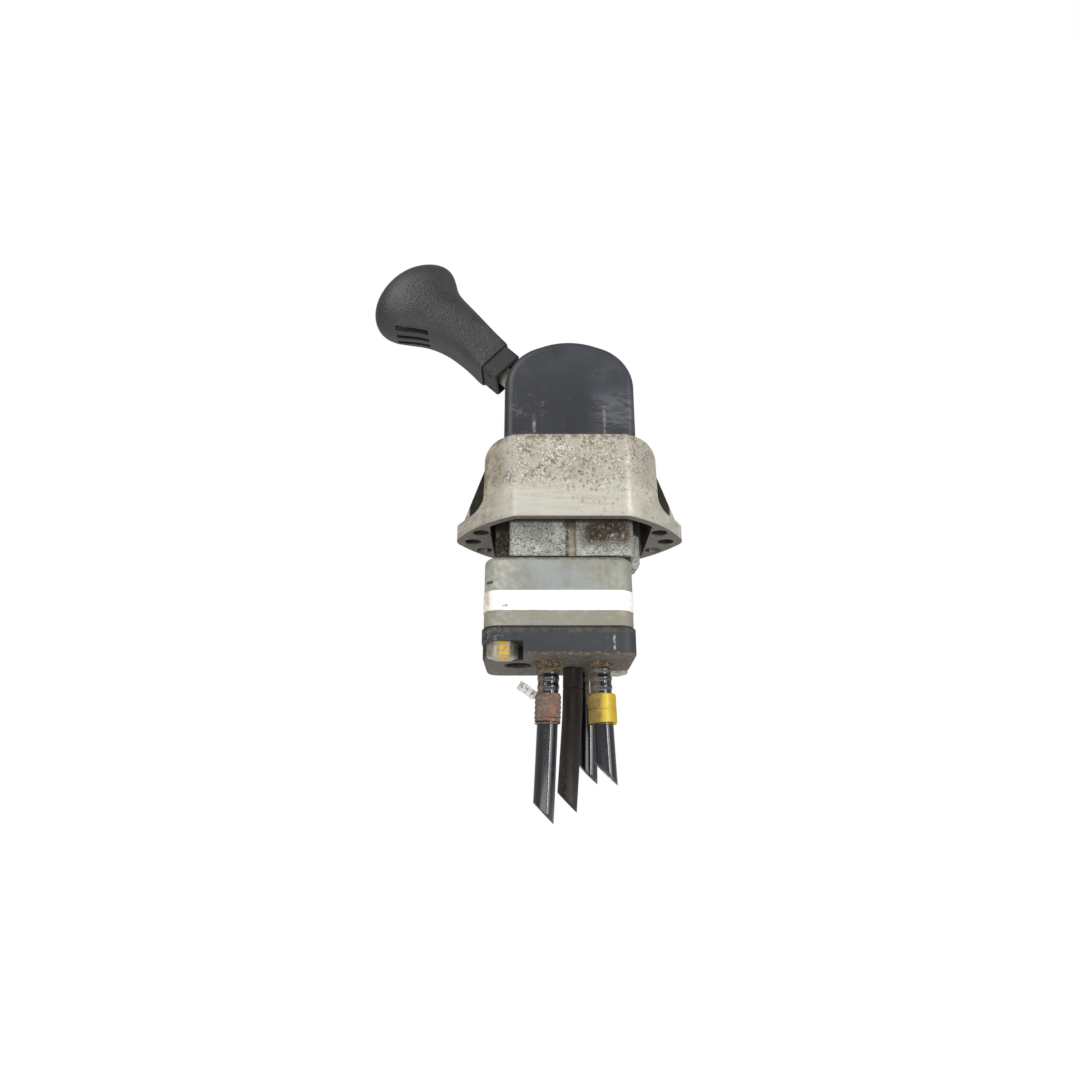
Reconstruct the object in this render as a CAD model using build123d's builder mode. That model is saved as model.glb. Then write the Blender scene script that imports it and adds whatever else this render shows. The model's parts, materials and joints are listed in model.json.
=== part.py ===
"""Pneumatic hand brake control valve.

A die-cast bezel with two drilled ears carries a valve housing below and a slotted black cover above.
The lever swings in the cover about a pivot pin; its cam works a plunger, a graduating spring, a piston
and an inlet valve. A spring-loaded collar on the lever locks it in a gate at the parked end.

Origin: centre of the bezel's underside. +Z: up the valve axis to the cover. -Y: front. All sizes in mm.
"""

import math
import os

from build123d import *

# Mounting bezel
bezel_depth = 75.0
bezel_height = 43.5
bezel_front_flat = 55.0
bezel_wall = 3.5
deck_thickness = 6.0
bell_margin = 9.2
bell_draft = 0.6
ear_length = 14.9
bell_top_radius = 9.0
bell_foot_radius = 8.0
ear_thickness = 8.0
ear_tip_flat = 12.0
ear_bulge = 3.0
facet_edge_radius = 5.0
ear_tip_crown = 2.0
rib_thickness = 2.6
rib_offset = 7.9
rib_foot_inset = 4.5
rib_bite = 1.0
mount_hole_radius = 4.25
outer_hole_inset = 8.5
inner_hole_inset = 13.5
inner_hole_spacing_y = 27.0

# Control cover
cover_width = 67.6
cover_depth = 54.0
cover_top = 104.8
cover_wall = 3.0
cover_corner_radius = 4.5
cover_shoulder_radius = 25.0
cover_crown_radius = 40.0
cover_crown_rise = 12.0
cover_flange_thickness = 2.0
slot_width = 18.0
slot_end_margin = 4.0

# Valve neck, the upper housing
neck_width = 61.0
neck_depth = 52.0
neck_bottom = -16.0
neck_flange_thickness = 6.0
neck_corner_radius = 3.0
neck_groove_width = 4.3
neck_groove_depth = 1.0
neck_lobe_depth = 24.0
right_boss_depth = 18.0
right_boss_radius = 6.0
right_boss_end = 3.0
left_lobe_reach = 37.5
left_lobe_bottom = -14.0
left_lobe_top = 19.0
right_boss_reach = 35.8
right_boss_taper = 35.0
cheek_radius = 26.5
cheek_gap = 26.0
cheek_thickness = 4.0
cheek_foot_half = 16.0

# Valve body, the lower housing
body_width = 71.6
body_depth = 56.0
body_height = 34.6
body_centre_x = -6.4
body_corner_radius = 8.0
shoulder_radius = 3.0

# Port plate and air ports
plate_width = 73.0
plate_depth = 57.0
plate_thickness = 12.6
plate_corner_radius = 7.0
bolt_notch_height = 6.5
bolt_notch_width = 19.1
bolt_notch_depth = 15.5
plate_bolt_inset_x = 9.1
plate_bolt_inset_y = 8.2
rear_bolt_inset = 6.7
exhaust_x = -26.0
exhaust_radius = 7.0
exhaust_passage_radius = 5.0
passage_radius = 3.0
socket_depth = 10.3
passage_step = 1.0
low_passage_height = 6.0
outlet_height = 4.5
outlet_radius = 8.0
valve_seat_height = 15.5
exhaust_top = 4.0

# Lever and locking collar
pivot_height = 66.0
lever_rest_angle = 43.0
lever_travel = 73.0
rod_radius = 5.0
rod_end = 118.0
hub_thickness = 12.0
hub_sleeve_radius = 7.0
cam_radius_run = 20.0
cam_drop = 5.0
cam_core_radius = 13.5
cam_overrun = 0.35
cam_steps = 12
pin_radius = 4.0
collar_start = 46.2
collar_length = 11.3
collar_width = 19.0
collar_depth = 20.4
collar_shift = 1.3
collar_lift = 7.0
grip_start = 56.5
grip_end = 136.5
tongue_width = 6.0
tongue_thickness = 2.4
gate_outer_radius = 26.0
gate_inner_radius = 19.0
gate_thickness = 2.4
gate_notch_depth = 4.0
gate_notch_clearance = 1.0
gate_end_margin = 6.0
gate_hub_gap = 0.6
gate_post_radius = 3.0
gate_screw_turns = (14.0, 22.0)
shield_radius = 28.8
shield_thickness = 1.2

# Valve train
plunger_radius = 6.0
plunger_head_radius = 11.0
plunger_seat_radius = 13.0
guide_radius = 9.0
chamber_radius = 17.0
chamber_top = 23.5
plunger_seat_bottom = 14.0
piston_top = -4.0
piston_height = 6.0
piston_stem_radius = 5.0
valve_chamber_radius = 10.5
valve_disc_radius = 8.5

# Pipes
pipe_radius = 5.0
pipe_bore = 3.5
pipe_cut_angle = 45.0
barb_reach = 12.2
barb_count = 3
barb_root_drop = 0.3
barb_tooth_share = 0.7
sleeve_drop = 15.2
sleeve_length = 14.5

# Fasteners
neck_bolt_radius = 2.0
neck_bolt_spacing_x = 40.0
neck_bolt_spacing_y = 60.4
neck_bolt_bite = 5.0
neck_bolt_head_radius = 3.5
neck_bolt_head = 4.0
thread_end_gap = 0.5
body_bolt_radius = 2.5
body_bolt_head_radius = 4.25
body_bolt_head = 5.0
body_bolt_bite = 11.0
plate_bolt_radius = 4.0
plate_bolt_head_radius = 7.5
plate_bolt_head = 7.1
plate_bolt_bite = 18.0
gate_screw_radius = 1.5
gate_screw_head = 1.8
gate_screw_head_radius = 2.7
gate_screw_hex_radius = 1.2
gate_screw_hex_depth = 1.08
gate_screw_end_gap = 0.3
socket_key_share = 0.5
socket_depth_share = 0.6
head_chamfer_share = 0.1
hub_pin_radius = 1.5
grip_pin_radius = 1.5
grip_pin_half = 11.0
grip_pin_wall = 0.6
circlip_thickness = 1.0
circlip_groove = 0.6
circlip_rim = 1.6
circlip_opening = 60.0
circlip_end_gap = 0.3
pin_tip = 1.2
bush_wall = 2.0
bush_rim = 4.0
bush_flange = 1.2

# Smaller features
label_height = 9.8
label_lift = 7.6
label_thickness = 0.25
label_wrap = 12.0
plate_edge = 0.8
notch_corner_radius = 3.0
stem_radius = 3.4
red_sleeve_radius = 6.2
yellow_sleeve_radius = 6.8
tag_drop = 8.7
tag_width = 10.5
tag_height = 11.0
tag_thickness = 0.3
tag_tear = 1.5
rod_foot = 12.0
rod_end_chamfer = 1.0
hub_reach = 24.0
hub_boss_width = 16.0
hub_pin_reach = 18.5
grip_pin_reach = 84.0
collar_corner_radius = 2.0
collar_edge = 0.8
collar_recess = 6.0
collar_wall = 1.5
collar_slot_reach = 51.5
collar_slot_offset = 6.5
collar_slot = (2.6, 1.4)
collar_slot_depth = 1.0
tongue_gap = 0.6
tongue_end_gap = 0.3
tongue_root = 2.0
sleeve_end_gap = 0.4
socket_wall = 1.1
socket_end_gap = 0.8
spring_room = 4.5
spring_room_gap = 3.2
shield_reach = 75.0
shield_width = 23.0
chin_slot_offsets = (-8.2, -2.8, 2.8, 8.2)
chin_slot_width = 2.6
chin_slot_left = -96.6
chin_slot_right = -78.0
chin_slot_ceiling = 126.0
wiper_radius = 1.0
cap_thickness = 2.0
cap_spigot_radius = 3.0
cap_spigot_depth = 4.0
plunger_head_thickness = 2.0
plunger_seat_thickness = 3.0
seal_groove_low = 1.8
piston_seal_depth = 2.3
piston_seal_height = 2.5
piston_bore_radius = 2.5
stem_tip_chamfer = 0.5
seat_thickness = 2.0
seat_bore_gap = 1.5
valve_face_thickness = 1.6
valve_disc_thickness = 2.2
disc_edge_radius = 0.6
retainer_thickness = 2.0
retainer_bore_radius = 4.2

# Springs
graduating_coil_radius = 9.5
graduating_wire_radius = 1.3
graduating_turns = 4
collar_coil_gap = 1.7
collar_wire_radius = 0.7
collar_coil_turns = 4
return_coil_gap = 2.2
return_wire_radius = 0.9
return_turns = 2.25
return_end_gap = 0.8
valve_coil_radius = 6.5
valve_wire_radius = 0.6
valve_coil_turns = 3.5

# Plates between the castings, and fits
gasket_thickness = 0.8
gasket_side_inset = 2.7
gasket_edge_inset = 0.5
seal_thickness = 1.0
running_fit = 0.05
loose_fit = 0.25
cam_gap = 0.3
seat_gap = 0.1
spring_end_gap = 0.15

# Sizes that follow
bell_top_half = cover_width / 2 + bell_margin
bell_foot_half = bell_top_half + bell_draft
bezel_span = 2 * (bell_foot_half + ear_length)
outer_hole_spacing = bezel_span - 2 * outer_hole_inset
inner_hole_spacing_x = bezel_span - 2 * inner_hole_inset
deck_under = bezel_height - deck_thickness
cover_base = deck_under - seal_thickness - cover_flange_thickness
neck_top = cover_base
neck_shelf = neck_top - neck_flange_thickness
body_top = neck_bottom - gasket_thickness
body_bottom = body_top - body_height
plate_top = body_bottom - gasket_thickness
plate_bottom = plate_top - plate_thickness
valve_seat_top = body_bottom + valve_seat_height
outlet_top = valve_seat_top + outlet_height
label_bottom = body_bottom + label_lift
pipe_top = plate_bottom + socket_depth
barb_tip = plate_bottom - barb_reach
sleeve_top = plate_bottom - sleeve_drop
sleeve_bottom = sleeve_top - sleeve_length
tag_top = plate_bottom - tag_drop
body_right = body_centre_x + body_width / 2
body_left = body_centre_x - body_width / 2
plate_bolt_spots = [
    (body_left + plate_bolt_inset_x, -body_depth / 2 + plate_bolt_inset_y),
    (body_right - rear_bolt_inset, body_depth / 2 - rear_bolt_inset),
]
cam_rate = cam_drop / math.radians(lever_travel)
cheek_inner = cheek_gap / 2
cheek_outer = cheek_inner + cheek_thickness


def spiral_radius(turn):
    """Cam radius at an angle in radians, counted from straight down towards the parked end."""
    return cam_radius_run - cam_rate * turn


def follower_drop(turn):
    """Depth of the cam below the pivot for a flat follower when the lever has turned."""
    steps = [turn - 0.4 + 0.01 * i for i in range(81)]
    return max(spiral_radius(step) * math.cos(step - turn) for step in steps)


plunger_top = pivot_height - follower_drop(0) - cam_gap

# Lever frame: u runs out along the lever, w square to it towards the upper side
lever_slope = math.radians(lever_rest_angle)
lever_out = Vector(-math.cos(lever_slope), 0, math.sin(lever_slope))
lever_side = Vector(math.sin(lever_slope), 0, math.cos(lever_slope))
pivot = Vector(0, 0, pivot_height)
lever_turn = 180 - lever_rest_angle
parked_turn = lever_turn - lever_travel


def on_lever(u, w=0.0):
    """Plane square to the lever at a distance u from the pivot; local X is w, local Y is +Y."""
    return Plane(origin=pivot + lever_out * u + lever_side * w, x_dir=lever_side, z_dir=lever_out)


def side_plane(y, height=0.0):
    """Upright plane facing the front, with local X to the right and local Y up."""
    return Plane(origin=(0, y, height), x_dir=(1, 0, 0), z_dir=(0, -1, 0))


def finish(part, name):
    """Name one finished sub-part and write its file."""
    part.label = name
    export_step(part, f"parts/{name}.step")
    print(name, "volume", round(part.volume), flush=True)


def bezel_plan(inset):
    """Outline of the bezel seen from above, moved in by inset."""
    half_flat, half_depth = bezel_front_flat / 2, bezel_depth / 2
    half_span, half_tip = bezel_span / 2, ear_tip_flat / 2
    tip_x = half_span - ear_tip_crown
    middle = Vector((half_flat + tip_x) / 2, (half_depth + half_tip) / 2)
    outward = Vector(half_depth - half_tip, tip_x - half_flat).normalized() * ear_bulge
    with BuildSketch() as plan:
        with BuildLine():
            Line((0, half_depth), (half_flat, half_depth))
            bulge = middle + outward
            ThreePointArc((half_flat, half_depth), bulge, (tip_x, half_tip))
            ThreePointArc((tip_x, half_tip), (half_span, 0), (tip_x, -half_tip))
            ThreePointArc((tip_x, -half_tip), (bulge.X, -bulge.Y), (half_flat, -half_depth))
            Line((half_flat, -half_depth), (0, -half_depth))
            mirror(about=Plane.YZ)
        make_face()
        corners = plan.vertices().filter_by(lambda v: abs(abs(v.Y) - half_depth) < 0.01)
        fillet(corners.filter_by(lambda v: abs(v.X) > 1), radius=facet_edge_radius)
        if inset:
            offset(amount=-inset)
    return plan.sketch


def body_plan(width, depth, corner, margin=0.0):
    """Rounded outline of the lower housing or the port plate, grown by margin."""
    with BuildSketch() as plan:
        with Locations((body_centre_x, 0)):
            RectangleRounded(width + 2 * margin, depth + 2 * margin, corner + margin)
    return plan.sketch


def coil_spring(plane, coil_radius, wire_radius, length, turns):
    """Open coil spring standing on a plane, with the given overall length."""
    rise = length - 2 * wire_radius - 2 * spring_end_gap
    with BuildPart() as spring:
        with BuildLine(Plane.XY.offset(wire_radius + spring_end_gap)) as coil:
            Helix(pitch=rise / turns, height=rise, radius=coil_radius)
        with BuildSketch(Plane(origin=coil.line @ 0, z_dir=coil.line % 0)):
            Circle(wire_radius)
        sweep(path=coil.line, is_frenet=True)
    return plane.location * spring.part


os.makedirs("parts", exist_ok=True)


# ---------------------------------------------------------------- mounting bezel
bell_slope = (bell_foot_half - bell_top_half) / (bezel_height - ear_thickness)
cavity_foot_half = bell_foot_half - bezel_wall + bell_slope * ear_thickness
cavity_top_half = bell_top_half - bezel_wall

with BuildPart() as bezel_cavity:
    with BuildSketch():
        add(bezel_plan(bezel_wall))
    extrude(amount=deck_under)
    with BuildSketch(side_plane(0)):
        with BuildLine():
            Polyline((0, 0), (cavity_foot_half, 0), (cavity_top_half, deck_under), (0, deck_under))
            mirror(about=Plane.YZ)
        make_face()
    extrude(amount=bezel_depth, both=True, mode=Mode.INTERSECT)

with BuildPart() as mounting_bezel:
    with BuildSketch():
        add(bezel_plan(0))
    extrude(amount=bezel_height)
    with BuildSketch(side_plane(0)) as front_view:
        with BuildLine():
            Polyline(
                (0, 0),
                (bezel_span / 2, 0),
                (bezel_span / 2, ear_thickness),
                (bell_foot_half, ear_thickness),
                (bell_top_half, bezel_height),
                (0, bezel_height),
            )
            mirror(about=Plane.YZ)
        make_face()
        tops = front_view.vertices().filter_by(lambda v: abs(abs(v.X) - bell_top_half) < 0.1)
        fillet(tops, radius=bell_top_radius)
        feet = front_view.vertices().filter_by(lambda v: abs(abs(v.X) - bell_foot_half) < 0.1)
        fillet(feet, radius=bell_foot_radius)
    extrude(amount=bezel_depth, both=True, mode=Mode.INTERSECT)
    for side in (-1, 1):
        with BuildSketch(side_plane(side * rib_offset)):
            with BuildLine():
                Polyline(
                    (0, deck_under),
                    (bell_top_half + rib_bite, deck_under),
                    (bezel_span / 2 - rib_foot_inset, ear_thickness + rib_bite),
                    (bezel_span / 2 - rib_foot_inset, ear_thickness - rib_bite),
                    (0, ear_thickness - rib_bite),
                )
                mirror(about=Plane.YZ)
            make_face()
        extrude(amount=rib_thickness / 2, both=True)
    add(bezel_cavity.part, mode=Mode.SUBTRACT)
    with BuildSketch(Plane.XY.offset(deck_under)):
        RectangleRounded(
            cover_width + 2 * loose_fit, cover_depth + 2 * loose_fit, cover_corner_radius + loose_fit
        )
    extrude(amount=deck_thickness, mode=Mode.SUBTRACT)
    with BuildSketch():
        with GridLocations(outer_hole_spacing, 0, 2, 1):
            Circle(mount_hole_radius)
        with GridLocations(inner_hole_spacing_x, inner_hole_spacing_y, 2, 2):
            Circle(mount_hole_radius)
    extrude(amount=ear_thickness + bell_foot_radius, mode=Mode.SUBTRACT)
    with BuildSketch(Plane.XY.offset(deck_under)):
        with GridLocations(neck_bolt_spacing_x, neck_bolt_spacing_y, 2, 2):
            Circle(neck_bolt_radius)
    extrude(amount=neck_bolt_bite, mode=Mode.SUBTRACT)
finish(mounting_bezel.part, "mounting_bezel")


def deck_plate(height, thickness):
    """Plate that fills the bezel's cavity, with a loose fit, and the neck bolts' clearance holes."""
    with BuildPart() as plate:
        with BuildSketch(Plane.XY.offset(height)):
            add(bezel_plan(bezel_wall + 2 * loose_fit))
        extrude(amount=thickness)
        with BuildSketch(Plane.XY.offset(height)):
            Rectangle(2 * (cavity_top_half - loose_fit), bezel_depth)
        extrude(amount=thickness, mode=Mode.INTERSECT)
        with BuildSketch(Plane.XY.offset(height)):
            with GridLocations(neck_bolt_spacing_x, neck_bolt_spacing_y, 2, 2):
                Circle(neck_bolt_radius + loose_fit)
        extrude(amount=thickness, mode=Mode.SUBTRACT)
    return plate.part


# ---------------------------------------------------------------- control cover and its seal
def dome(inset, base):
    """Domed block of the cover, moved in by inset, standing on the height base."""
    half_width = cover_width / 2 - inset
    slope = math.atan(cover_crown_rise / half_width)
    crown_radius = cover_crown_radius - inset
    apex = cover_top - inset + crown_radius * (1 / math.cos(slope) - 1)
    corner = apex - cover_crown_rise
    shoulder_arc = cover_shoulder_radius - inset
    with BuildPart() as block:
        with BuildSketch(side_plane(0)):
            with BuildLine():
                roof = FilletPolyline(
                    (-half_width, base),
                    (-half_width, corner),
                    (0, apex),
                    (half_width, corner),
                    (half_width, base),
                    radius=[shoulder_arc, crown_radius, shoulder_arc],
                )
                Line(roof @ 1, roof @ 0)
            make_face()
        extrude(amount=cover_depth / 2 - inset, both=True)
        front_and_back = block.faces().filter_by(GeomType.PLANE).filter_by(Axis.Y)
        rims = front_and_back.edges().filter_by(lambda e: e.center().Z > base + 1)
        fillet(rims, radius=cover_corner_radius - inset)
    return block.part


def slot_wedge(reach, half_width):
    """Wedge about the pivot that the lever sweeps, for cutting its slot."""
    lever_margin = math.degrees(math.asin(rod_radius / (cover_width / 2))) + slot_end_margin
    first = math.radians(lever_turn + lever_margin)
    last = math.radians(parked_turn - lever_margin)
    with BuildPart() as wedge:
        with BuildSketch(side_plane(0, pivot_height)):
            with BuildLine():
                Polyline(
                    (0, 0),
                    (reach * math.cos(first), reach * math.sin(first)),
                    (-reach / 2, reach),
                    (reach / 2, reach),
                    (reach * math.cos(last), reach * math.sin(last)),
                    close=True,
                )
            make_face()
        extrude(amount=half_width, both=True)
    return wedge.part


with BuildPart() as control_cover:
    add(dome(0, cover_base))
    add(deck_plate(cover_base, cover_flange_thickness))
    add(dome(cover_wall, cover_base), mode=Mode.SUBTRACT)
    add(slot_wedge(cover_width, slot_width / 2), mode=Mode.SUBTRACT)
finish(control_cover.part, "control_cover")

with BuildPart() as cover_seal:
    add(deck_plate(deck_under - seal_thickness, seal_thickness))
    add(dome(-loose_fit, cover_base), mode=Mode.SUBTRACT)
finish(cover_seal.part, "cover_seal")

# ---------------------------------------------------------------- valve neck
body_bolt_spots = [(-23.5, 19.5), (-21.0, -20.0), (22.5, -20.0), (6.0, 21.8)]
pipe_spots = {
    "pipe_front_left": (-11.2, -8.0),
    "pipe_middle": (1.2, 7.0),
    "pipe_rear": (8.4, 17.0),
    "pipe_front_right": (14.0, -8.0),
}
gate_screw_reach = (gate_inner_radius + gate_outer_radius - gate_notch_depth) / 2
gate_screw_spots = [
    Vector(gate_screw_reach, 0).rotate(Axis.Z, turn)
    for turn in (lever_turn - gate_screw_turns[0], parked_turn + gate_screw_turns[1])
]

with BuildPart() as valve_neck:
    with BuildSketch(Plane.XY.offset(neck_bottom)):
        RectangleRounded(neck_width, neck_depth, neck_corner_radius)
    extrude(amount=neck_shelf - neck_bottom)
    add(deck_plate(neck_shelf, neck_flange_thickness))
    with BuildSketch(Plane.XY.offset(left_lobe_bottom)):
        with Locations((-left_lobe_reach / 2, 0)):
            Rectangle(left_lobe_reach, neck_lobe_depth)
    extrude(amount=left_lobe_top - left_lobe_bottom)
    boss_foot = neck_bottom + right_boss_end
    for run, lean in ((neck_shelf - boss_foot, 0), (-right_boss_end, right_boss_taper)):
        with BuildSketch(Plane.XY.offset(boss_foot)):
            with Locations((right_boss_reach / 2, 0)):
                RectangleRounded(right_boss_reach, right_boss_depth, right_boss_radius)
        extrude(amount=run, taper=lean)
    for side in (-1, 1):
        with BuildSketch(side_plane(side * (cheek_inner + cheek_thickness / 2))):
            with Locations((0, (neck_top + pivot_height) / 2)):
                Rectangle(2 * cheek_foot_half, pivot_height - neck_top)
            with Locations((0, pivot_height)):
                Circle(cheek_radius)
        extrude(amount=cheek_thickness / 2, both=True)
    with BuildSketch(side_plane(0)):
        with Locations((0, pivot_height)):
            Circle(pin_radius + bush_wall)
    extrude(amount=cheek_outer, both=True, mode=Mode.SUBTRACT)
    with BuildSketch(side_plane(cheek_outer, pivot_height)):
        with Locations(*gate_screw_spots):
            Circle(gate_screw_radius)
    extrude(amount=cheek_thickness, mode=Mode.SUBTRACT)
    for side in (-1, 1):
        with BuildSketch(Plane.XY.offset(neck_bottom)):
            with Locations((0, side * neck_depth / 2)):
                Rectangle(neck_groove_width, 2 * neck_groove_depth)
        extrude(amount=neck_shelf - neck_bottom, mode=Mode.SUBTRACT)
    with BuildSketch(Plane.XY.offset(neck_bottom)):
        Circle(chamber_radius)
    extrude(amount=chamber_top - neck_bottom, mode=Mode.SUBTRACT)
    with BuildSketch(Plane.XY.offset(chamber_top)):
        Circle(guide_radius)
    extrude(amount=neck_top - chamber_top, mode=Mode.SUBTRACT)
    with BuildSketch(Plane.XY.offset(neck_bottom)):
        with Locations(*body_bolt_spots):
            Circle(body_bolt_radius)
    extrude(amount=body_bolt_bite, mode=Mode.SUBTRACT)
    with BuildSketch(Plane.XY.offset(neck_bottom)):
        with Locations((exhaust_x, 0)):
            Circle(exhaust_passage_radius)
    extrude(amount=exhaust_top - neck_bottom, mode=Mode.SUBTRACT)
    with BuildSketch(Plane(origin=(exhaust_x, 0, exhaust_top), z_dir=(1, 0, 0))):
        Circle(passage_radius)
    extrude(amount=-exhaust_x - chamber_radius / 2, mode=Mode.SUBTRACT)
finish(valve_neck.part, "valve_neck")


def bolts(spots, seat, shank_radius, length, head_radius, head_height, socket):
    """Bolts that point up from a seat height, with hexagon sockets or hexagon heads."""
    with BuildPart() as group:
        with BuildSketch(Plane.XY.offset(seat)):
            with Locations(*spots):
                Circle(shank_radius)
        extrude(amount=length)
        with BuildSketch(Plane.XY.offset(seat - head_height)):
            with Locations(*spots):
                if socket:
                    Circle(head_radius)
                else:
                    RegularPolygon(head_radius, 6)
        extrude(amount=head_height)
        if socket:
            with BuildSketch(Plane.XY.offset(seat - head_height)):
                with Locations(*spots):
                    RegularPolygon(socket_key_share * head_radius, 6)
            extrude(amount=socket_depth_share * head_height, mode=Mode.SUBTRACT)
        else:
            chamfer(group.faces().group_by(Axis.Z)[0].edges(), length=head_chamfer_share * head_radius)
    return group.part


neck_bolt_spots = [
    (sx * neck_bolt_spacing_x / 2, sy * neck_bolt_spacing_y / 2) for sx in (-1, 1) for sy in (-1, 1)
]
finish(
    bolts(
        neck_bolt_spots,
        neck_shelf,
        neck_bolt_radius,
        deck_under + neck_bolt_bite - thread_end_gap - neck_shelf,
        neck_bolt_head_radius,
        neck_bolt_head,
        True,
    ),
    "neck_bolts",
)

# ---------------------------------------------------------------- lower valve body
with BuildPart() as valve_body:
    with BuildSketch(Plane.XY.offset(body_bottom)):
        add(body_plan(body_width, body_depth, body_corner_radius))
    extrude(amount=body_height)
    shoulder = valve_body.faces().sort_by(Axis.Z)[-1].edges().filter_by(
        lambda e: e.center().X < body_left + body_corner_radius
    )
    fillet(shoulder, radius=shoulder_radius)
    with BuildSketch(Plane.XY.offset(body_bottom)):
        Circle(piston_stem_radius + running_fit)
    extrude(amount=body_height, mode=Mode.SUBTRACT)
    with BuildSketch(Plane.XY.offset(body_bottom)):
        Circle(valve_chamber_radius)
    extrude(amount=valve_seat_height, mode=Mode.SUBTRACT)
    with BuildSketch(Plane.XY.offset(valve_seat_top)):
        Circle(outlet_radius)
    extrude(amount=outlet_height, mode=Mode.SUBTRACT)
    with BuildSketch(Plane.XY.offset(body_bottom)):
        with Locations(*body_bolt_spots):
            Circle(body_bolt_radius + loose_fit)
        with Locations((exhaust_x, 0)):
            Circle(exhaust_passage_radius)
    extrude(amount=body_height, mode=Mode.SUBTRACT)
    with BuildSketch(Plane.XY.offset(body_bottom)):
        with Locations(*body_bolt_spots):
            Circle(body_bolt_head_radius + loose_fit)
    extrude(amount=body_bolt_head, mode=Mode.SUBTRACT)
    with BuildSketch(Plane.XY.offset(body_bottom)):
        with Locations(*plate_bolt_spots):
            Circle(plate_bolt_radius)
    extrude(amount=plate_bolt_bite, mode=Mode.SUBTRACT)
    for name, (x, y) in pipe_spots.items():
        low = name in ("pipe_front_left", "pipe_middle")
        level = body_bottom + low_passage_height if low else outlet_top - passage_radius
        with BuildSketch(Plane.XY.offset(body_bottom)):
            with Locations((x, y)):
                Circle(passage_radius)
        extrude(amount=level - body_bottom, mode=Mode.SUBTRACT)
        inward = Vector(-x, -y, 0)
        with BuildSketch(Plane(origin=(x, y, level), z_dir=inward.normalized())):
            Circle(passage_radius - passage_step)
        extrude(amount=inward.length - passage_radius, mode=Mode.SUBTRACT)
finish(valve_body.part, "valve_body")

# ---------------------------------------------------------------- gaskets, body bolts and label
with BuildPart() as body_gasket:
    with BuildSketch(Plane.XY.offset(body_top)):
        Rectangle(2 * (body_right - loose_fit), neck_depth - 2 * gasket_side_inset)
        Circle(chamber_radius, mode=Mode.SUBTRACT)
        with Locations(*body_bolt_spots):
            Circle(body_bolt_radius + loose_fit, mode=Mode.SUBTRACT)
        with Locations((exhaust_x, 0)):
            Circle(exhaust_passage_radius, mode=Mode.SUBTRACT)
    extrude(amount=gasket_thickness)
finish(body_gasket.part, "body_gasket")

with BuildPart() as port_gasket:
    with BuildSketch(Plane.XY.offset(plate_top)):
        add(body_plan(body_width, body_depth, body_corner_radius, -gasket_edge_inset))
        Circle(valve_chamber_radius, mode=Mode.SUBTRACT)
        with Locations(*plate_bolt_spots):
            Circle(plate_bolt_radius + loose_fit, mode=Mode.SUBTRACT)
        with Locations((exhaust_x, 0)):
            Circle(exhaust_passage_radius, mode=Mode.SUBTRACT)
        with Locations(*pipe_spots.values()):
            Circle(passage_radius, mode=Mode.SUBTRACT)
    extrude(amount=gasket_thickness)
finish(port_gasket.part, "port_gasket")

body_bolt_seat = body_bottom + body_bolt_head
body_bolt_length = neck_bottom + body_bolt_bite - thread_end_gap - body_bolt_seat
finish(
    bolts(
        body_bolt_spots,
        body_bolt_seat,
        body_bolt_radius,
        body_bolt_length,
        body_bolt_head_radius,
        body_bolt_head,
        True,
    ),
    "body_bolts",
)

with BuildPart() as body_label:
    with BuildSketch(Plane.XY.offset(label_bottom)):
        add(body_plan(body_width, body_depth, body_corner_radius, label_thickness))
        add(body_plan(body_width, body_depth, body_corner_radius), mode=Mode.SUBTRACT)
        with Locations((body_centre_x, body_depth / 2 - label_wrap)):
            Rectangle(2 * body_width, body_depth, mode=Mode.SUBTRACT)
    extrude(amount=label_height)
finish(body_label.part, "body_label")

# ---------------------------------------------------------------- port plate, its bolts and stems
notch_top = plate_bottom + bolt_notch_height
with BuildPart() as port_plate:
    with BuildSketch(Plane.XY.offset(plate_bottom)):
        add(body_plan(plate_width, plate_depth, plate_corner_radius))
    extrude(amount=plate_thickness)
    chamfer(port_plate.faces().sort_by(Axis.Z)[0].edges(), length=plate_edge)
    with BuildSketch(Plane.XY.offset(plate_bottom)):
        with Locations((body_left, -body_depth / 2), (body_right, body_depth / 2)):
            RectangleRounded(2 * bolt_notch_width, 2 * bolt_notch_depth, notch_corner_radius)
    extrude(amount=bolt_notch_height, mode=Mode.SUBTRACT)
    with BuildSketch(Plane.XY.offset(notch_top)):
        with Locations(*plate_bolt_spots):
            Circle(plate_bolt_radius + loose_fit)
    extrude(amount=plate_thickness - bolt_notch_height, mode=Mode.SUBTRACT)
    with BuildSketch(Plane.XY.offset(plate_bottom)):
        with Locations((exhaust_x, 0)):
            Circle(exhaust_radius)
    extrude(amount=plate_thickness, mode=Mode.SUBTRACT)
    with BuildSketch(Plane.XY.offset(plate_bottom)):
        with Locations(*pipe_spots.values()):
            Circle(pipe_radius + loose_fit)
    extrude(amount=pipe_top - plate_bottom, mode=Mode.SUBTRACT)
    with BuildSketch(Plane.XY.offset(pipe_top)):
        with Locations(*pipe_spots.values()):
            Circle(stem_radius)
    extrude(amount=plate_top - pipe_top, mode=Mode.SUBTRACT)
finish(port_plate.part, "port_plate")

finish(
    bolts(
        plate_bolt_spots,
        notch_top,
        plate_bolt_radius,
        body_bottom + plate_bolt_bite - notch_top - thread_end_gap,
        plate_bolt_head_radius,
        plate_bolt_head,
        False,
    ),
    "plate_bolts",
)


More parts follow.
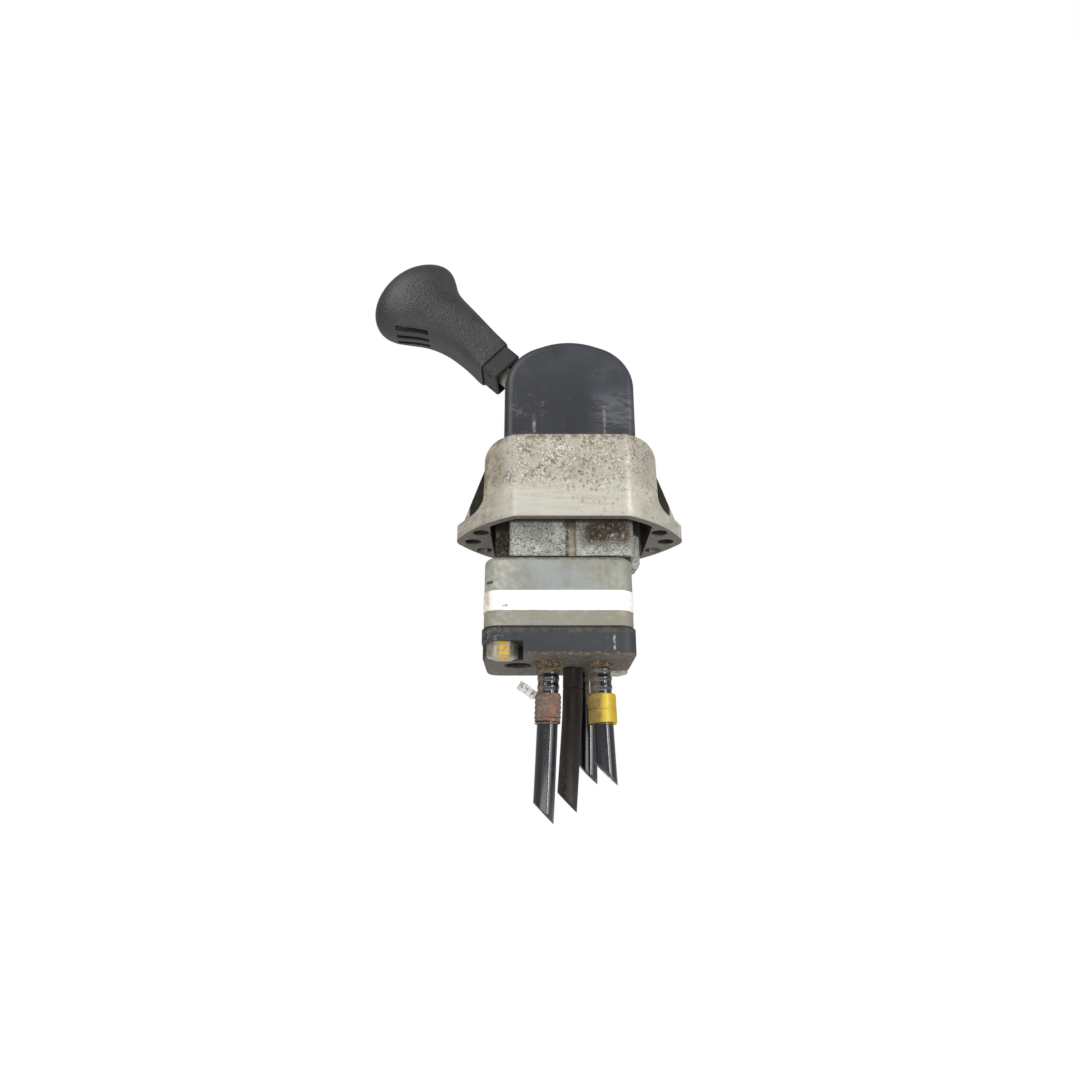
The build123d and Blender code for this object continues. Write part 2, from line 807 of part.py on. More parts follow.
def barbed_stem(x, y):
    """Hollow stem that a pipe is pushed over, with saw-tooth rings on its outside."""
    axis_plane = Plane(origin=(x, y, 0), x_dir=(1, 0, 0), z_dir=(0, -1, 0))
    ridge, root = pipe_bore - 2 * running_fit, stem_radius - barb_root_drop
    pitch = (pipe_top - barb_tip) / (barb_count + 2)
    teeth = []
    for ring in range(barb_count):
        foot = barb_tip + ring * pitch
        tooth_top = foot + barb_tooth_share * pitch
        teeth += [(root, foot), (ridge, tooth_top), (root, tooth_top)]
    with BuildPart() as stem:
        with BuildSketch(axis_plane):
            with BuildLine():
                Polyline(
                    (passage_radius - passage_step, barb_tip),
                    *teeth,
                    (root, pipe_top),
                    (stem_radius, pipe_top),
                    (stem_radius, plate_top),
                    (passage_radius - passage_step, plate_top),
                    close=True,
                )
            make_face()
        revolve(axis=Axis((x, y, 0), (0, 0, 1)))
    return stem.part


stems = [barbed_stem(x, y) for x, y in pipe_spots.values()]
finish(Compound(children=stems), "barbed_stems")

# ---------------------------------------------------------------- air pipes
# Each point: across, back, and drop below the plate's underside
pipe_drops = {
    "pipe_front_left": [
        (-11.2, -8, -socket_depth),
        (-11.2, -8, 14.7),
        (-12.4, -8.2, 42.7),
        (-13.8, -8.6, 69.6),
    ],
    "pipe_middle": [(1.2, 7, -socket_depth), (1.2, 7, 14.2), (-0.5, 7.4, 39.2), (-2.4, 8, 64.2)],
    "pipe_rear": [(8.4, 17, -socket_depth), (8.4, 17, 10.2), (8.6, 17.4, 30.7), (8.2, 18.2, 50.7)],
    "pipe_front_right": [(14, -8, -socket_depth), (14, -8, 11.2), (14.6, -8.3, 32.2), (15.4, -9, 52.2)],
}
pipe_routes = {
    name: [(across, back, plate_bottom - drop) for across, back, drop in points]
    for name, points in pipe_drops.items()
}


def route_radii(points):
    """Largest tangent radius for each corner of a route."""
    radii = []
    for before, corner, after in zip(points, points[1:], points[2:]):
        run_in, run_out = Vector(corner) - Vector(before), Vector(after) - Vector(corner)
        half_turn = math.radians(run_in.get_angle(run_out) / 2)
        radii.append(0.45 * min(run_in.length, run_out.length) / math.tan(half_turn))
    return radii


def ring_along(points, outer, inner, spare=0.0):
    """Ring section swept along a route, whose last run is made longer by spare."""
    radii = route_radii(points)
    tail = (Vector(points[-1]) - Vector(points[-2])).normalized() * spare
    with BuildPart() as ring:
        with BuildLine() as route:
            FilletPolyline(*points[:-1], Vector(points[-1]) + tail, radius=radii)
        with BuildSketch(Plane(origin=points[0], z_dir=(0, 0, -1))):
            Circle(outer)
            Circle(inner, mode=Mode.SUBTRACT)
        sweep(path=route.line)
    return ring.part


def air_pipe(name):
    """Plastic pipe along its route, cut off on a slant at its lower end."""
    points = pipe_routes[name]
    slant = math.radians(pipe_cut_angle)
    cut = Plane(origin=points[-1], z_dir=(-math.sin(slant), 0, -math.cos(slant)))
    with BuildPart() as pipe:
        add(ring_along(points, pipe_radius, pipe_bore, 2 * pipe_radius))
        split(bisect_by=cut, keep=Keep.BOTTOM)
    with BuildLine() as route:
        FilletPolyline(*points, radius=route_radii(points))
    length = route.wire().length
    section = math.pi * (pipe_radius**2 - pipe_bore**2)
    print(name, "radii", [round(r) for r in route_radii(points)], "length", round(length, 1))
    print(name, "volume over section times length", round(pipe.part.volume / section / length, 3))
    return pipe.part


def marker_sleeve(name, outer):
    """Coloured sleeve round one pipe."""
    points = pipe_routes[name]
    with BuildPart() as sleeve:
        add(ring_along(points, outer, pipe_radius))
        with BuildSketch(Plane.XY.offset(sleeve_bottom)):
            with Locations(points[0][:2]):
                Circle(3 * outer)
        extrude(amount=sleeve_top - sleeve_bottom, mode=Mode.INTERSECT)
    return sleeve.part


for pipe_name in pipe_routes:
    finish(air_pipe(pipe_name), pipe_name)
finish(marker_sleeve("pipe_front_left", red_sleeve_radius), "marker_sleeve_red")
finish(marker_sleeve("pipe_front_right", yellow_sleeve_radius), "marker_sleeve_yellow")

tag_right = pipe_routes["pipe_front_left"][0][0] - pipe_radius - loose_fit
with BuildPart() as paper_tag:
    with BuildSketch(side_plane(pipe_routes["pipe_front_left"][0][1])):
        with BuildLine():
            Polyline(
                (tag_right, tag_top - 2 * tag_tear),
                (tag_right - 0.4 * tag_width, tag_top),
                (tag_right - tag_width, tag_top - tag_tear),
                (tag_right - tag_width + tag_tear, tag_top - 0.6 * tag_height),
                (tag_right - 0.5 * tag_width, tag_top - tag_height),
                (tag_right, tag_top - 0.5 * tag_height),
                close=True,
            )
        make_face()
    extrude(amount=tag_thickness / 2, both=True)
finish(paper_tag.part, "paper_tag")

# ---------------------------------------------------------------- pivot bushes and locking gate
with BuildPart() as pivot_bushes:
    with BuildSketch(side_plane(cheek_outer, pivot_height)):
        Circle(pin_radius + bush_wall)
        Circle(pin_radius + running_fit, mode=Mode.SUBTRACT)
    extrude(amount=cheek_thickness)
    with BuildSketch(side_plane(cheek_outer + bush_flange, pivot_height)):
        Circle(pin_radius + bush_rim)
        Circle(pin_radius + running_fit, mode=Mode.SUBTRACT)
    extrude(amount=bush_flange)
    mirror(about=Plane.XZ)
finish(pivot_bushes.part, "pivot_bushes")

gate_front = hub_thickness / 2 + gate_hub_gap
gate_back = gate_front + gate_thickness
tongue_half_turn = math.degrees(math.asin(tongue_width / 2 / gate_outer_radius))
gate_span = lever_travel + 2 * (tongue_half_turn + gate_end_margin)
gate_first = parked_turn - tongue_half_turn - gate_end_margin


def ring_sector(outer, inner, first, span):
    """Sketch of a ring sector about the pivot, angles in degrees from +X towards +Z."""
    with BuildSketch() as sector:
        with BuildLine():
            rim = CenterArc((0, 0), outer, first, span)
            bore = CenterArc((0, 0), inner, first, span)
            Line(rim @ 0, bore @ 0)
            Line(rim @ 1, bore @ 1)
        make_face()
    return sector.sketch


with BuildPart() as lock_gate:
    with BuildSketch(side_plane(gate_back, pivot_height)):
        add(ring_sector(gate_outer_radius, gate_inner_radius, gate_first, gate_span))
        notch_spot = Vector(gate_outer_radius, 0).rotate(Axis.Z, parked_turn)
        with Locations(Location(notch_spot, (0, 0, parked_turn))):
            Rectangle(
                2 * gate_notch_depth, tongue_width + gate_notch_clearance, mode=Mode.SUBTRACT
            )
    extrude(amount=gate_thickness)
    with BuildSketch(side_plane(cheek_inner, pivot_height)):
        with Locations(*gate_screw_spots):
            Circle(gate_post_radius)
    extrude(amount=cheek_inner - gate_back)
    with BuildSketch(side_plane(cheek_inner, pivot_height)):
        with Locations(*gate_screw_spots):
            Circle(gate_screw_radius)
    extrude(amount=cheek_inner - gate_back, mode=Mode.SUBTRACT)
finish(lock_gate.part, "lock_gate")

with BuildPart() as gate_screws:
    with BuildSketch(side_plane(cheek_outer, pivot_height)):
        with Locations(*gate_screw_spots):
            Circle(gate_screw_radius)
    extrude(amount=cheek_outer - gate_back - gate_screw_end_gap)
    with BuildSketch(side_plane(cheek_outer + gate_screw_head, pivot_height)):
        with Locations(*gate_screw_spots):
            Circle(gate_screw_head_radius)
            RegularPolygon(gate_screw_hex_radius, 6, mode=Mode.SUBTRACT)
    extrude(amount=gate_screw_head)
    hex_floor = gate_screw_head - gate_screw_hex_depth
    with BuildSketch(side_plane(cheek_outer + hex_floor, pivot_height)):
        with Locations(*gate_screw_spots):
            Circle(gate_screw_head_radius)
    extrude(amount=hex_floor)
finish(gate_screws.part, "gate_screws")

# ---------------------------------------------------------------- lever
cam_points = []
for step in range(cam_steps + 1):
    turn = step * (math.radians(lever_travel) + 2 * cam_overrun) / cam_steps - cam_overrun
    polar = turn - math.pi / 2
    cam_points.append((spiral_radius(turn) * math.cos(polar), spiral_radius(turn) * math.sin(polar)))

with BuildPart() as cam_hub:
    with BuildSketch(side_plane(0, pivot_height)):
        with BuildLine():
            lobe = Spline(*cam_points)
            Polyline(lobe @ 1, (0, 0), lobe @ 0)
        make_face()
        Circle(cam_core_radius)
        with Locations(Location((0, 0), (0, 0, lever_turn))):
            with Locations((hub_reach / 2, 0)):
                Rectangle(hub_reach, hub_boss_width)
    extrude(amount=hub_thickness / 2, both=True)
    with BuildSketch(side_plane(0, pivot_height)):
        Circle(hub_sleeve_radius)
    extrude(amount=cheek_inner - sleeve_end_gap, both=True)
    with BuildSketch(side_plane(0, pivot_height)):
        Circle(pin_radius)
    extrude(amount=cheek_inner, both=True, mode=Mode.SUBTRACT)
    with BuildSketch(on_lever(rod_foot)):
        Circle(rod_radius)
    extrude(amount=hub_reach, mode=Mode.SUBTRACT)
    with BuildSketch(Plane(origin=on_lever(hub_pin_reach).origin, z_dir=lever_side)):
        Circle(hub_pin_radius)
    extrude(amount=hub_boss_width / 2, both=True, mode=Mode.SUBTRACT)
finish(cam_hub.part, "cam_hub")

with BuildPart() as lever_rod:
    with BuildSketch(on_lever(rod_foot)):
        Circle(rod_radius)
    extrude(amount=rod_end - rod_foot)
    chamfer(lever_rod.edges().sort_by(Axis.Z)[-1], length=rod_end_chamfer)
    with BuildSketch(Plane(origin=on_lever(hub_pin_reach).origin, z_dir=lever_side)):
        Circle(hub_pin_radius)
    extrude(amount=hub_boss_width / 2, both=True, mode=Mode.SUBTRACT)
    with BuildSketch(Plane(origin=on_lever(grip_pin_reach).origin, z_dir=(0, -1, 0))):
        Circle(grip_pin_radius)
    extrude(amount=2 * rod_radius, both=True, mode=Mode.SUBTRACT)
finish(lever_rod.part, "lever_rod")

with BuildPart() as hub_pin:
    with BuildSketch(Plane(origin=on_lever(hub_pin_reach).origin, z_dir=lever_side)):
        Circle(hub_pin_radius)
    extrude(amount=hub_boss_width / 2, both=True)
finish(hub_pin.part, "hub_pin")

circlip_y = cheek_outer + bush_flange + circlip_end_gap
with BuildPart() as pivot_pin:
    with BuildSketch(side_plane(0, pivot_height)):
        Circle(pin_radius)
    extrude(amount=circlip_y + circlip_thickness + pin_tip, both=True)
    for side in (-1, 1):
        with BuildSketch(side_plane(side * (circlip_y + circlip_thickness / 2), pivot_height)):
            Circle(pin_radius + circlip_rim)
            Circle(pin_radius - circlip_groove, mode=Mode.SUBTRACT)
        extrude(amount=circlip_thickness / 2, both=True, mode=Mode.SUBTRACT)
finish(pivot_pin.part, "pivot_pin")

with BuildPart() as pin_circlips:
    for side in (-1, 1):
        with BuildSketch(side_plane(side * (circlip_y + circlip_thickness / 2), pivot_height)):
            add(
                ring_sector(
                    pin_radius + circlip_rim,
                    pin_radius - circlip_groove,
                    90 + circlip_opening / 2,
                    360 - circlip_opening,
                )
            )
        extrude(amount=circlip_thickness / 2, both=True)
finish(pin_circlips.part, "pin_circlips")

with BuildPart() as slot_shield:
    with BuildSketch(side_plane(0, pivot_height)):
        add(
            ring_sector(
                shield_radius, shield_radius - shield_thickness, lever_turn - shield_reach, 2 * shield_reach
            )
        )
    extrude(amount=shield_width / 2, both=True)
    tongue_side = rod_radius + tongue_gap + tongue_thickness + loose_fit
    with BuildSketch(on_lever(0)):
        with Locations((0, (tongue_side - rod_radius) / 2)):
            Rectangle(2 * rod_radius + 2 * running_fit, tongue_side + rod_radius)
    extrude(amount=2 * shield_radius, mode=Mode.SUBTRACT)
finish(slot_shield.part, "slot_shield")

# ---------------------------------------------------------------- locking collar
tongue_foot = gate_outer_radius + tongue_end_gap
with BuildPart() as lock_collar:
    with BuildSketch(on_lever(collar_start, collar_shift)):
        RectangleRounded(collar_width, collar_depth, collar_corner_radius)
    extrude(amount=collar_length)
    lower_rim = lock_collar.faces().sort_by(Axis(tuple(pivot), tuple(lever_out)))[0].edges()
    chamfer(lower_rim, length=collar_edge)
    with BuildSketch(on_lever(collar_start, collar_shift)):
        RectangleRounded(
            collar_width - 2 * collar_wall, collar_depth - 2 * collar_wall, collar_corner_radius / 2
        )
    extrude(amount=collar_recess, mode=Mode.SUBTRACT)
    underside = on_lever(collar_slot_reach, collar_shift - collar_width / 2).origin
    with BuildSketch(Plane(origin=underside, x_dir=lever_out, z_dir=lever_side)):
        with GridLocations(0, 2 * collar_slot_offset, 1, 2):
            Rectangle(*collar_slot)
    extrude(amount=collar_slot_depth, mode=Mode.SUBTRACT)
    with BuildSketch(on_lever(tongue_foot)):
        with Locations((0, rod_radius + tongue_gap + tongue_thickness / 2)):
            Rectangle(tongue_width, tongue_thickness)
    extrude(amount=collar_start + collar_recess + tongue_root - tongue_foot)
    with BuildSketch(on_lever(collar_start)):
        Circle(rod_radius + running_fit)
    extrude(amount=collar_length, mode=Mode.SUBTRACT)
finish(lock_collar.part, "lock_collar")

# ---------------------------------------------------------------- grip
# Each row: distance along the lever, lower and upper edge across it, half depth
grip_sections = [
    (grip_start, -10.3, 12.2, 11.6),
    (60.0, -10.0, 12.7, 11.8),
    (68.0, -9.6, 14.0, 12.2),
    (76.0, -9.7, 15.4, 12.7),
    (84.0, -10.5, 16.7, 13.1),
    (92.0, -12.8, 17.8, 13.4),
    (99.0, -16.6, 18.8, 13.8),
    (105.0, -21.3, 20.6, 14.4),
    (110.0, -25.2, 24.2, 14.9),
    (115.0, -27.6, 27.2, 15.2),
    (120.0, -28.0, 28.2, 15.2),
    (125.0, -26.4, 26.6, 14.8),
    (130.0, -22.4, 22.6, 13.4),
    (134.0, -16.6, 16.8, 10.8),
    (grip_end, -9.4, 9.6, 6.8),
]
collar_end = collar_start + collar_length
socket_end = collar_end + collar_lift + socket_end_gap
socket_width = collar_width + 2 * loose_fit
socket_depth_across = collar_depth + 2 * loose_fit
with BuildPart() as grip:
    for u, low, high, half_depth in grip_sections:
        with BuildSketch(on_lever(u, (low + high) / 2)):
            Ellipse((high - low) / 2, half_depth)
    loft(ruled=True)
    with BuildSketch(on_lever(grip_start, collar_shift)):
        RectangleRounded(
            socket_width + 2 * socket_wall, socket_depth_across + 2 * socket_wall, 2 * collar_corner_radius
        )
    extrude(amount=socket_end + socket_wall - grip_start)
    with BuildSketch(on_lever(grip_start, collar_shift)):
        RectangleRounded(socket_width, socket_depth_across, collar_corner_radius + loose_fit)
    extrude(amount=socket_end - grip_start, mode=Mode.SUBTRACT)
    with BuildSketch(on_lever(socket_end)):
        Circle(rod_radius + spring_room_gap)
    extrude(amount=spring_room, mode=Mode.SUBTRACT)
    with BuildSketch(on_lever(socket_end + spring_room)):
        Circle(rod_radius)
    extrude(amount=rod_end - socket_end - spring_room, mode=Mode.SUBTRACT)
    with BuildSketch(Plane(origin=on_lever(grip_pin_reach).origin, z_dir=(0, -1, 0))):
        Circle(grip_pin_radius)
    extrude(amount=cover_depth, both=True, mode=Mode.SUBTRACT)
    for y in chin_slot_offsets:
        with BuildSketch(side_plane(y)):
            with Locations(((chin_slot_left + chin_slot_right) / 2, chin_slot_ceiling)):
                Rectangle(
                    chin_slot_right - chin_slot_left,
                    chin_slot_ceiling - pivot_height,
                    align=(Align.CENTER, Align.MAX),
                )
        extrude(amount=chin_slot_width / 2, both=True, mode=Mode.SUBTRACT)
finish(grip.part, "grip")

with BuildPart() as grip_pin:
    with BuildSketch(Plane(origin=on_lever(grip_pin_reach).origin, z_dir=(0, -1, 0))):
        Circle(grip_pin_radius)
        Circle(grip_pin_radius - grip_pin_wall, mode=Mode.SUBTRACT)
    extrude(amount=grip_pin_half, both=True)
finish(grip_pin.part, "grip_pin")

# ---------------------------------------------------------------- plunger, guide and springs
with BuildPart() as plunger_guide:
    with BuildSketch(Plane.XY.offset(chamber_top)):
        Circle(guide_radius)
        Circle(plunger_radius + running_fit, mode=Mode.SUBTRACT)
    extrude(amount=neck_top - chamber_top)
    with BuildSketch(Plane.XY.offset(neck_top - 3 * wiper_radius)):
        Circle(plunger_radius + 2 * wiper_radius + running_fit)
    extrude(amount=2 * wiper_radius, mode=Mode.SUBTRACT)
finish(plunger_guide.part, "plunger_guide")

with BuildPart() as plunger_seal:
    with BuildSketch(Plane.XZ):
        with Locations((plunger_radius + wiper_radius + running_fit, neck_top - 2 * wiper_radius)):
            Circle(wiper_radius)
    revolve(axis=Axis.Z)
finish(plunger_seal.part, "plunger_seal")

cap_bottom = plunger_top - cap_thickness
with BuildPart() as plunger:
    with BuildSketch(Plane.XY.offset(plunger_seat_bottom)):
        Circle(plunger_radius)
    extrude(amount=cap_bottom - plunger_seat_bottom)
    with BuildSketch(Plane.XY.offset(plunger_seat_bottom)):
        Circle(plunger_seat_radius)
    extrude(amount=plunger_seat_thickness)
    with BuildSketch(Plane.XY.offset(cap_bottom - plunger_head_thickness)):
        Circle(plunger_head_radius)
    extrude(amount=plunger_head_thickness)
    with BuildSketch(Plane.XY.offset(cap_bottom)):
        Circle(cap_spigot_radius)
    extrude(amount=-cap_spigot_depth, mode=Mode.SUBTRACT)
finish(plunger.part, "plunger")

with BuildPart() as plunger_cap:
    with BuildSketch(Plane.XY.offset(cap_bottom)):
        Circle(plunger_head_radius)
    extrude(amount=cap_thickness)
    with BuildSketch(Plane.XY.offset(cap_bottom)):
        Circle(cap_spigot_radius)
    extrude(amount=-cap_spigot_depth)
finish(plunger_cap.part, "plunger_cap")

graduating_length = plunger_seat_bottom - piston_top
finish(
    coil_spring(
        Plane.XY.offset(piston_top),
        graduating_coil_radius,
        graduating_wire_radius,
        graduating_length,
        graduating_turns,
    ),
    "graduating_spring",
)
finish(
    coil_spring(
        on_lever(collar_end),
        rod_radius + collar_coil_gap,
        collar_wire_radius,
        socket_end + spring_room - collar_end,
        collar_coil_turns,
    ),
    "collar_spring",
)
return_start = cheek_inner - return_end_gap
finish(
    coil_spring(
        Plane(origin=(0, -return_start, pivot_height), x_dir=(1, 0, 0), z_dir=(0, 1, 0)),
        hub_sleeve_radius + return_coil_gap,
        return_wire_radius,
        return_start - hub_thickness / 2 - gate_hub_gap,
        return_turns,
    ),
    "return_spring",
)

# ---------------------------------------------------------------- piston
piston_bottom = piston_top - piston_height
stem_tip = valve_seat_top - seat_thickness
with BuildPart() as graduating_piston:
    with BuildSketch(Plane.XY.offset(piston_bottom)):
        Circle(chamber_radius - running_fit)
    extrude(amount=piston_height)
    with BuildSketch(Plane.XY.offset(stem_tip)):
        Circle(piston_stem_radius)
    extrude(amount=piston_bottom - stem_tip)
    with BuildSketch(Plane.XY.offset(piston_bottom + seal_groove_low)):
        Circle(chamber_radius)
        Circle(chamber_radius - piston_seal_depth, mode=Mode.SUBTRACT)
    extrude(amount=piston_seal_height, mode=Mode.SUBTRACT)
    with BuildSketch(Plane.XY.offset(stem_tip)):
        Circle(piston_bore_radius)
    extrude(amount=piston_top - stem_tip, mode=Mode.SUBTRACT)
    chamfer(graduating_piston.edges().sort_by(Axis.Z)[0:1], length=stem_tip_chamfer)
finish(graduating_piston.part, "graduating_piston")

with BuildPart() as piston_seal:
    with BuildSketch(Plane.XY.offset(piston_bottom + seal_groove_low)):
        Circle(chamber_radius - running_fit)
        Circle(chamber_radius - piston_seal_depth, mode=Mode.SUBTRACT)
    extrude(amount=piston_seal_height)
finish(piston_seal.part, "piston_seal")

# ---------------------------------------------------------------- inlet valve
disc_top = stem_tip - seat_gap
face_bottom = disc_top - valve_face_thickness
disc_bottom = face_bottom - valve_disc_thickness
retainer_top = body_bottom + retainer_thickness

with BuildPart() as valve_seat:
    with BuildSketch(Plane.XY.offset(stem_tip)):
        Circle(valve_chamber_radius)
        Circle(piston_stem_radius + seat_bore_gap, mode=Mode.SUBTRACT)
    extrude(amount=seat_thickness)
finish(valve_seat.part, "valve_seat")

with BuildPart() as valve_face:
    with BuildSketch(Plane.XY.offset(face_bottom)):
        Circle(valve_disc_radius)
    extrude(amount=valve_face_thickness)
finish(valve_face.part, "valve_face")

with BuildPart() as valve_disc:
    with BuildSketch(Plane.XY.offset(disc_bottom)):
        Circle(valve_disc_radius)
    extrude(amount=valve_disc_thickness)
    fillet(valve_disc.edges().sort_by(Axis.Z)[0], radius=disc_edge_radius)
finish(valve_disc.part, "valve_disc")

with BuildPart() as valve_retainer:
    with BuildSketch(Plane.XY.offset(body_bottom)):
        Circle(valve_chamber_radius)
        Circle(retainer_bore_radius, mode=Mode.SUBTRACT)
    extrude(amount=retainer_thickness)
finish(valve_retainer.part, "valve_retainer")

finish(
    coil_spring(
        Plane.XY.offset(retainer_top),
        valve_coil_radius,
        valve_wire_radius,
        disc_bottom - retainer_top,
        valve_coil_turns,
    ),
    "valve_spring",
)
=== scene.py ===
import json
import math

import bmesh
import bpy
from mathutils import Matrix, Vector, noise


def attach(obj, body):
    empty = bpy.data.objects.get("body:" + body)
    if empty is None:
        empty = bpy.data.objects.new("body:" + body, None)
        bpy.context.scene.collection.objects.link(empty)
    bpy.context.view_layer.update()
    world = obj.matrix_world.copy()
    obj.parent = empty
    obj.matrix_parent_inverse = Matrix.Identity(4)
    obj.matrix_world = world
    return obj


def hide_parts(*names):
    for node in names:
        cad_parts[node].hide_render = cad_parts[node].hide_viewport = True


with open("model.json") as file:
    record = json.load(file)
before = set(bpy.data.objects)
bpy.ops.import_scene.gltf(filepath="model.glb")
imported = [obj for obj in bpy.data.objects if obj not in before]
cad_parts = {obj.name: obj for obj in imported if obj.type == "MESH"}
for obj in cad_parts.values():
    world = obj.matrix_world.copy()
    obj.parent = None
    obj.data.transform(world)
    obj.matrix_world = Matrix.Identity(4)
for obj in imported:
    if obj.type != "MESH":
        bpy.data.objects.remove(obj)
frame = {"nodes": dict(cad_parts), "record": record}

floor_height = -0.150
bezel_half_depth = 0.0375
bezel_half_front = 0.0275
bezel_end_slope = 1.086
mask_edge = 0.0004
tag_half_width, tag_half_height, tag_turn = 0.0105, 0.0042, 32

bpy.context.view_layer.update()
nodes = frame["nodes"]
scene = bpy.context.scene

# ---------------------------------------------------------------- camera, light and floor
camera_data = bpy.data.cameras.new("camera")
camera_data.lens = 27.3
camera_data.sensor_width = 36.0
camera_data.clip_start = 0.01
camera = bpy.data.objects.new("camera", camera_data)
camera.location = (-0.0153, -0.4025, -0.1414)
camera.rotation_euler = (math.radians(109.5), 0, 0)
scene.collection.objects.link(camera)
scene.camera = camera
scene.view_settings.view_transform = "Standard"


def soft_light(name, place, aim, size, watts):
    """Rectangular soft light at a place, turned towards the point it aims at."""
    data = bpy.data.lights.new(name, "AREA")
    data.shape = "RECTANGLE"
    data.size, data.size_y = size
    data.energy = watts
    lamp = bpy.data.objects.new(name, data)
    lamp.location = place
    lamp.rotation_euler = (Vector(aim) - Vector(place)).to_track_quat("-Z", "Y").to_euler()
    scene.collection.objects.link(lamp)


soft_light("key_light", (-0.55, -0.75, 0.75), (0, 0, 0.02), (0.7, 0.7), 6.5)
soft_light("fill_light", (0.75, -0.65, 0.25), (0, 0, 0), (0.5, 0.9), 3.4)
soft_light("strip_light", (0.42, -0.55, -0.02), (0, 0, -0.08), (0.05, 0.5), 1.4)
soft_light("low_light", (-0.1, -0.7, -0.12), (0, 0, -0.02), (0.9, 0.12), 1.0)

world = bpy.data.worlds.new("studio")
scene.world = world
world.use_nodes = True
sky = world.node_tree
sky.nodes["Background"].inputs["Color"].default_value = (1, 1, 1, 1)
sky.nodes["Background"].inputs["Strength"].default_value = 0.42
backdrop = sky.nodes.new("ShaderNodeBackground")
backdrop.inputs["Color"].default_value = (1, 1, 1, 1)
seen = sky.nodes.new("ShaderNodeLightPath")
choose = sky.nodes.new("ShaderNodeMixShader")
sky.links.new(seen.outputs["Is Camera Ray"], choose.inputs[0])
sky.links.new(sky.nodes["Background"].outputs[0], choose.inputs[1])
sky.links.new(backdrop.outputs[0], choose.inputs[2])
sky.links.new(choose.outputs[0], sky.nodes["World Output"].inputs[0])

floor_mesh = bpy.data.meshes.new("floor")
shape = bmesh.new()
bmesh.ops.create_grid(shape, x_segments=1, y_segments=1, size=3.0)
bmesh.ops.translate(shape, verts=shape.verts, vec=(0, 0, floor_height))
shape.to_mesh(floor_mesh)
shape.free()
floor = bpy.data.objects.new("floor", floor_mesh)
scene.collection.objects.link(floor)


# ---------------------------------------------------------------- material tools
def hue(code):
    """Linear colour of a six-digit colour code."""
    parts = [int(code[i : i + 2], 16) / 255 for i in (0, 2, 4)]
    return (*[c / 12.92 if c <= 0.04045 else ((c + 0.055) / 1.055) ** 2.4 for c in parts], 1.0)


def place(tree, kind, sockets=None, **settings):
    """Add one node, set its settings, and link or set its inputs."""
    node = tree.nodes.new(kind)
    for key, value in settings.items():
        setattr(node, key, value)
    for key, value in (sockets or {}).items():
        if isinstance(value, bpy.types.NodeSocket):
            tree.links.new(value, node.inputs[key])
        else:
            node.inputs[key].default_value = value
    return node


def math_node(tree, operation, first, second=0.0):
    """Result of one sum on two values."""
    return place(tree, "ShaderNodeMath", {0: first, 1: second}, operation=operation).outputs[0]


def ramp(tree, value, low, high):
    """Smooth step from 0 at low to 1 at high."""
    return place(
        tree,
        "ShaderNodeMapRange",
        {"Value": value, "From Min": low, "From Max": high},
        interpolation_type="SMOOTHSTEP",
    ).outputs[0]


def new_group(name, inputs, outputs):
    """Empty shader node group with named inputs and outputs."""
    tree = bpy.data.node_groups.new(name, "ShaderNodeTree")
    for label, kind, value in inputs:
        socket = tree.interface.new_socket(label, in_out="INPUT", socket_type="NodeSocket" + kind)
        if kind == "Float":
            socket.default_value = value
    for label, kind in outputs:
        tree.interface.new_socket(label, in_out="OUTPUT", socket_type="NodeSocket" + kind)
    return tree, tree.nodes.new("NodeGroupInput").outputs, tree.nodes.new("NodeGroupOutput").inputs


def patches_group():
    """Irregular patches: Amount from 0 to 1 says how much of the surface they take."""
    tree, given, result = new_group(
        "patches",
        [
            ("Vector", "Vector", None),
            ("Scale", "Float", 50),
            ("Amount", "Float", 0.5),
            ("Softness", "Float", 0.06),
        ],
        [("Mask", "Float")],
    )
    noise = place(
        tree,
        "ShaderNodeTexNoise",
        {"Vector": given["Vector"], "Scale": given["Scale"], "Detail": 5, "Roughness": 0.62},
    )
    middle = math_node(tree, "MULTIPLY_ADD", given["Amount"], -0.44)
    middle.node.inputs[2].default_value = 0.72
    low = math_node(tree, "SUBTRACT", middle, given["Softness"])
    high = math_node(tree, "ADD", middle, given["Softness"])
    tree.links.new(ramp(tree, noise.outputs[0], low, high), result["Mask"])
    return tree


def band_group():
    """Mask that is 1 where a value lies between Low and High."""
    tree, given, result = new_group(
        "band",
        [("Value", "Float", 0), ("Low", "Float", 0), ("High", "Float", 1), ("Softness", "Float", 0.001)],
        [("Mask", "Float")],
    )
    rise = ramp(
        tree,
        given["Value"],
        math_node(tree, "SUBTRACT", given["Low"], given["Softness"]),
        math_node(tree, "ADD", given["Low"], given["Softness"]),
    )
    fall = ramp(
        tree,
        given["Value"],
        math_node(tree, "SUBTRACT", given["High"], given["Softness"]),
        math_node(tree, "ADD", given["High"], given["Softness"]),
    )
    tree.links.new(math_node(tree, "MULTIPLY", rise, math_node(tree, "SUBTRACT", 1.0, fall)), result["Mask"])
    return tree


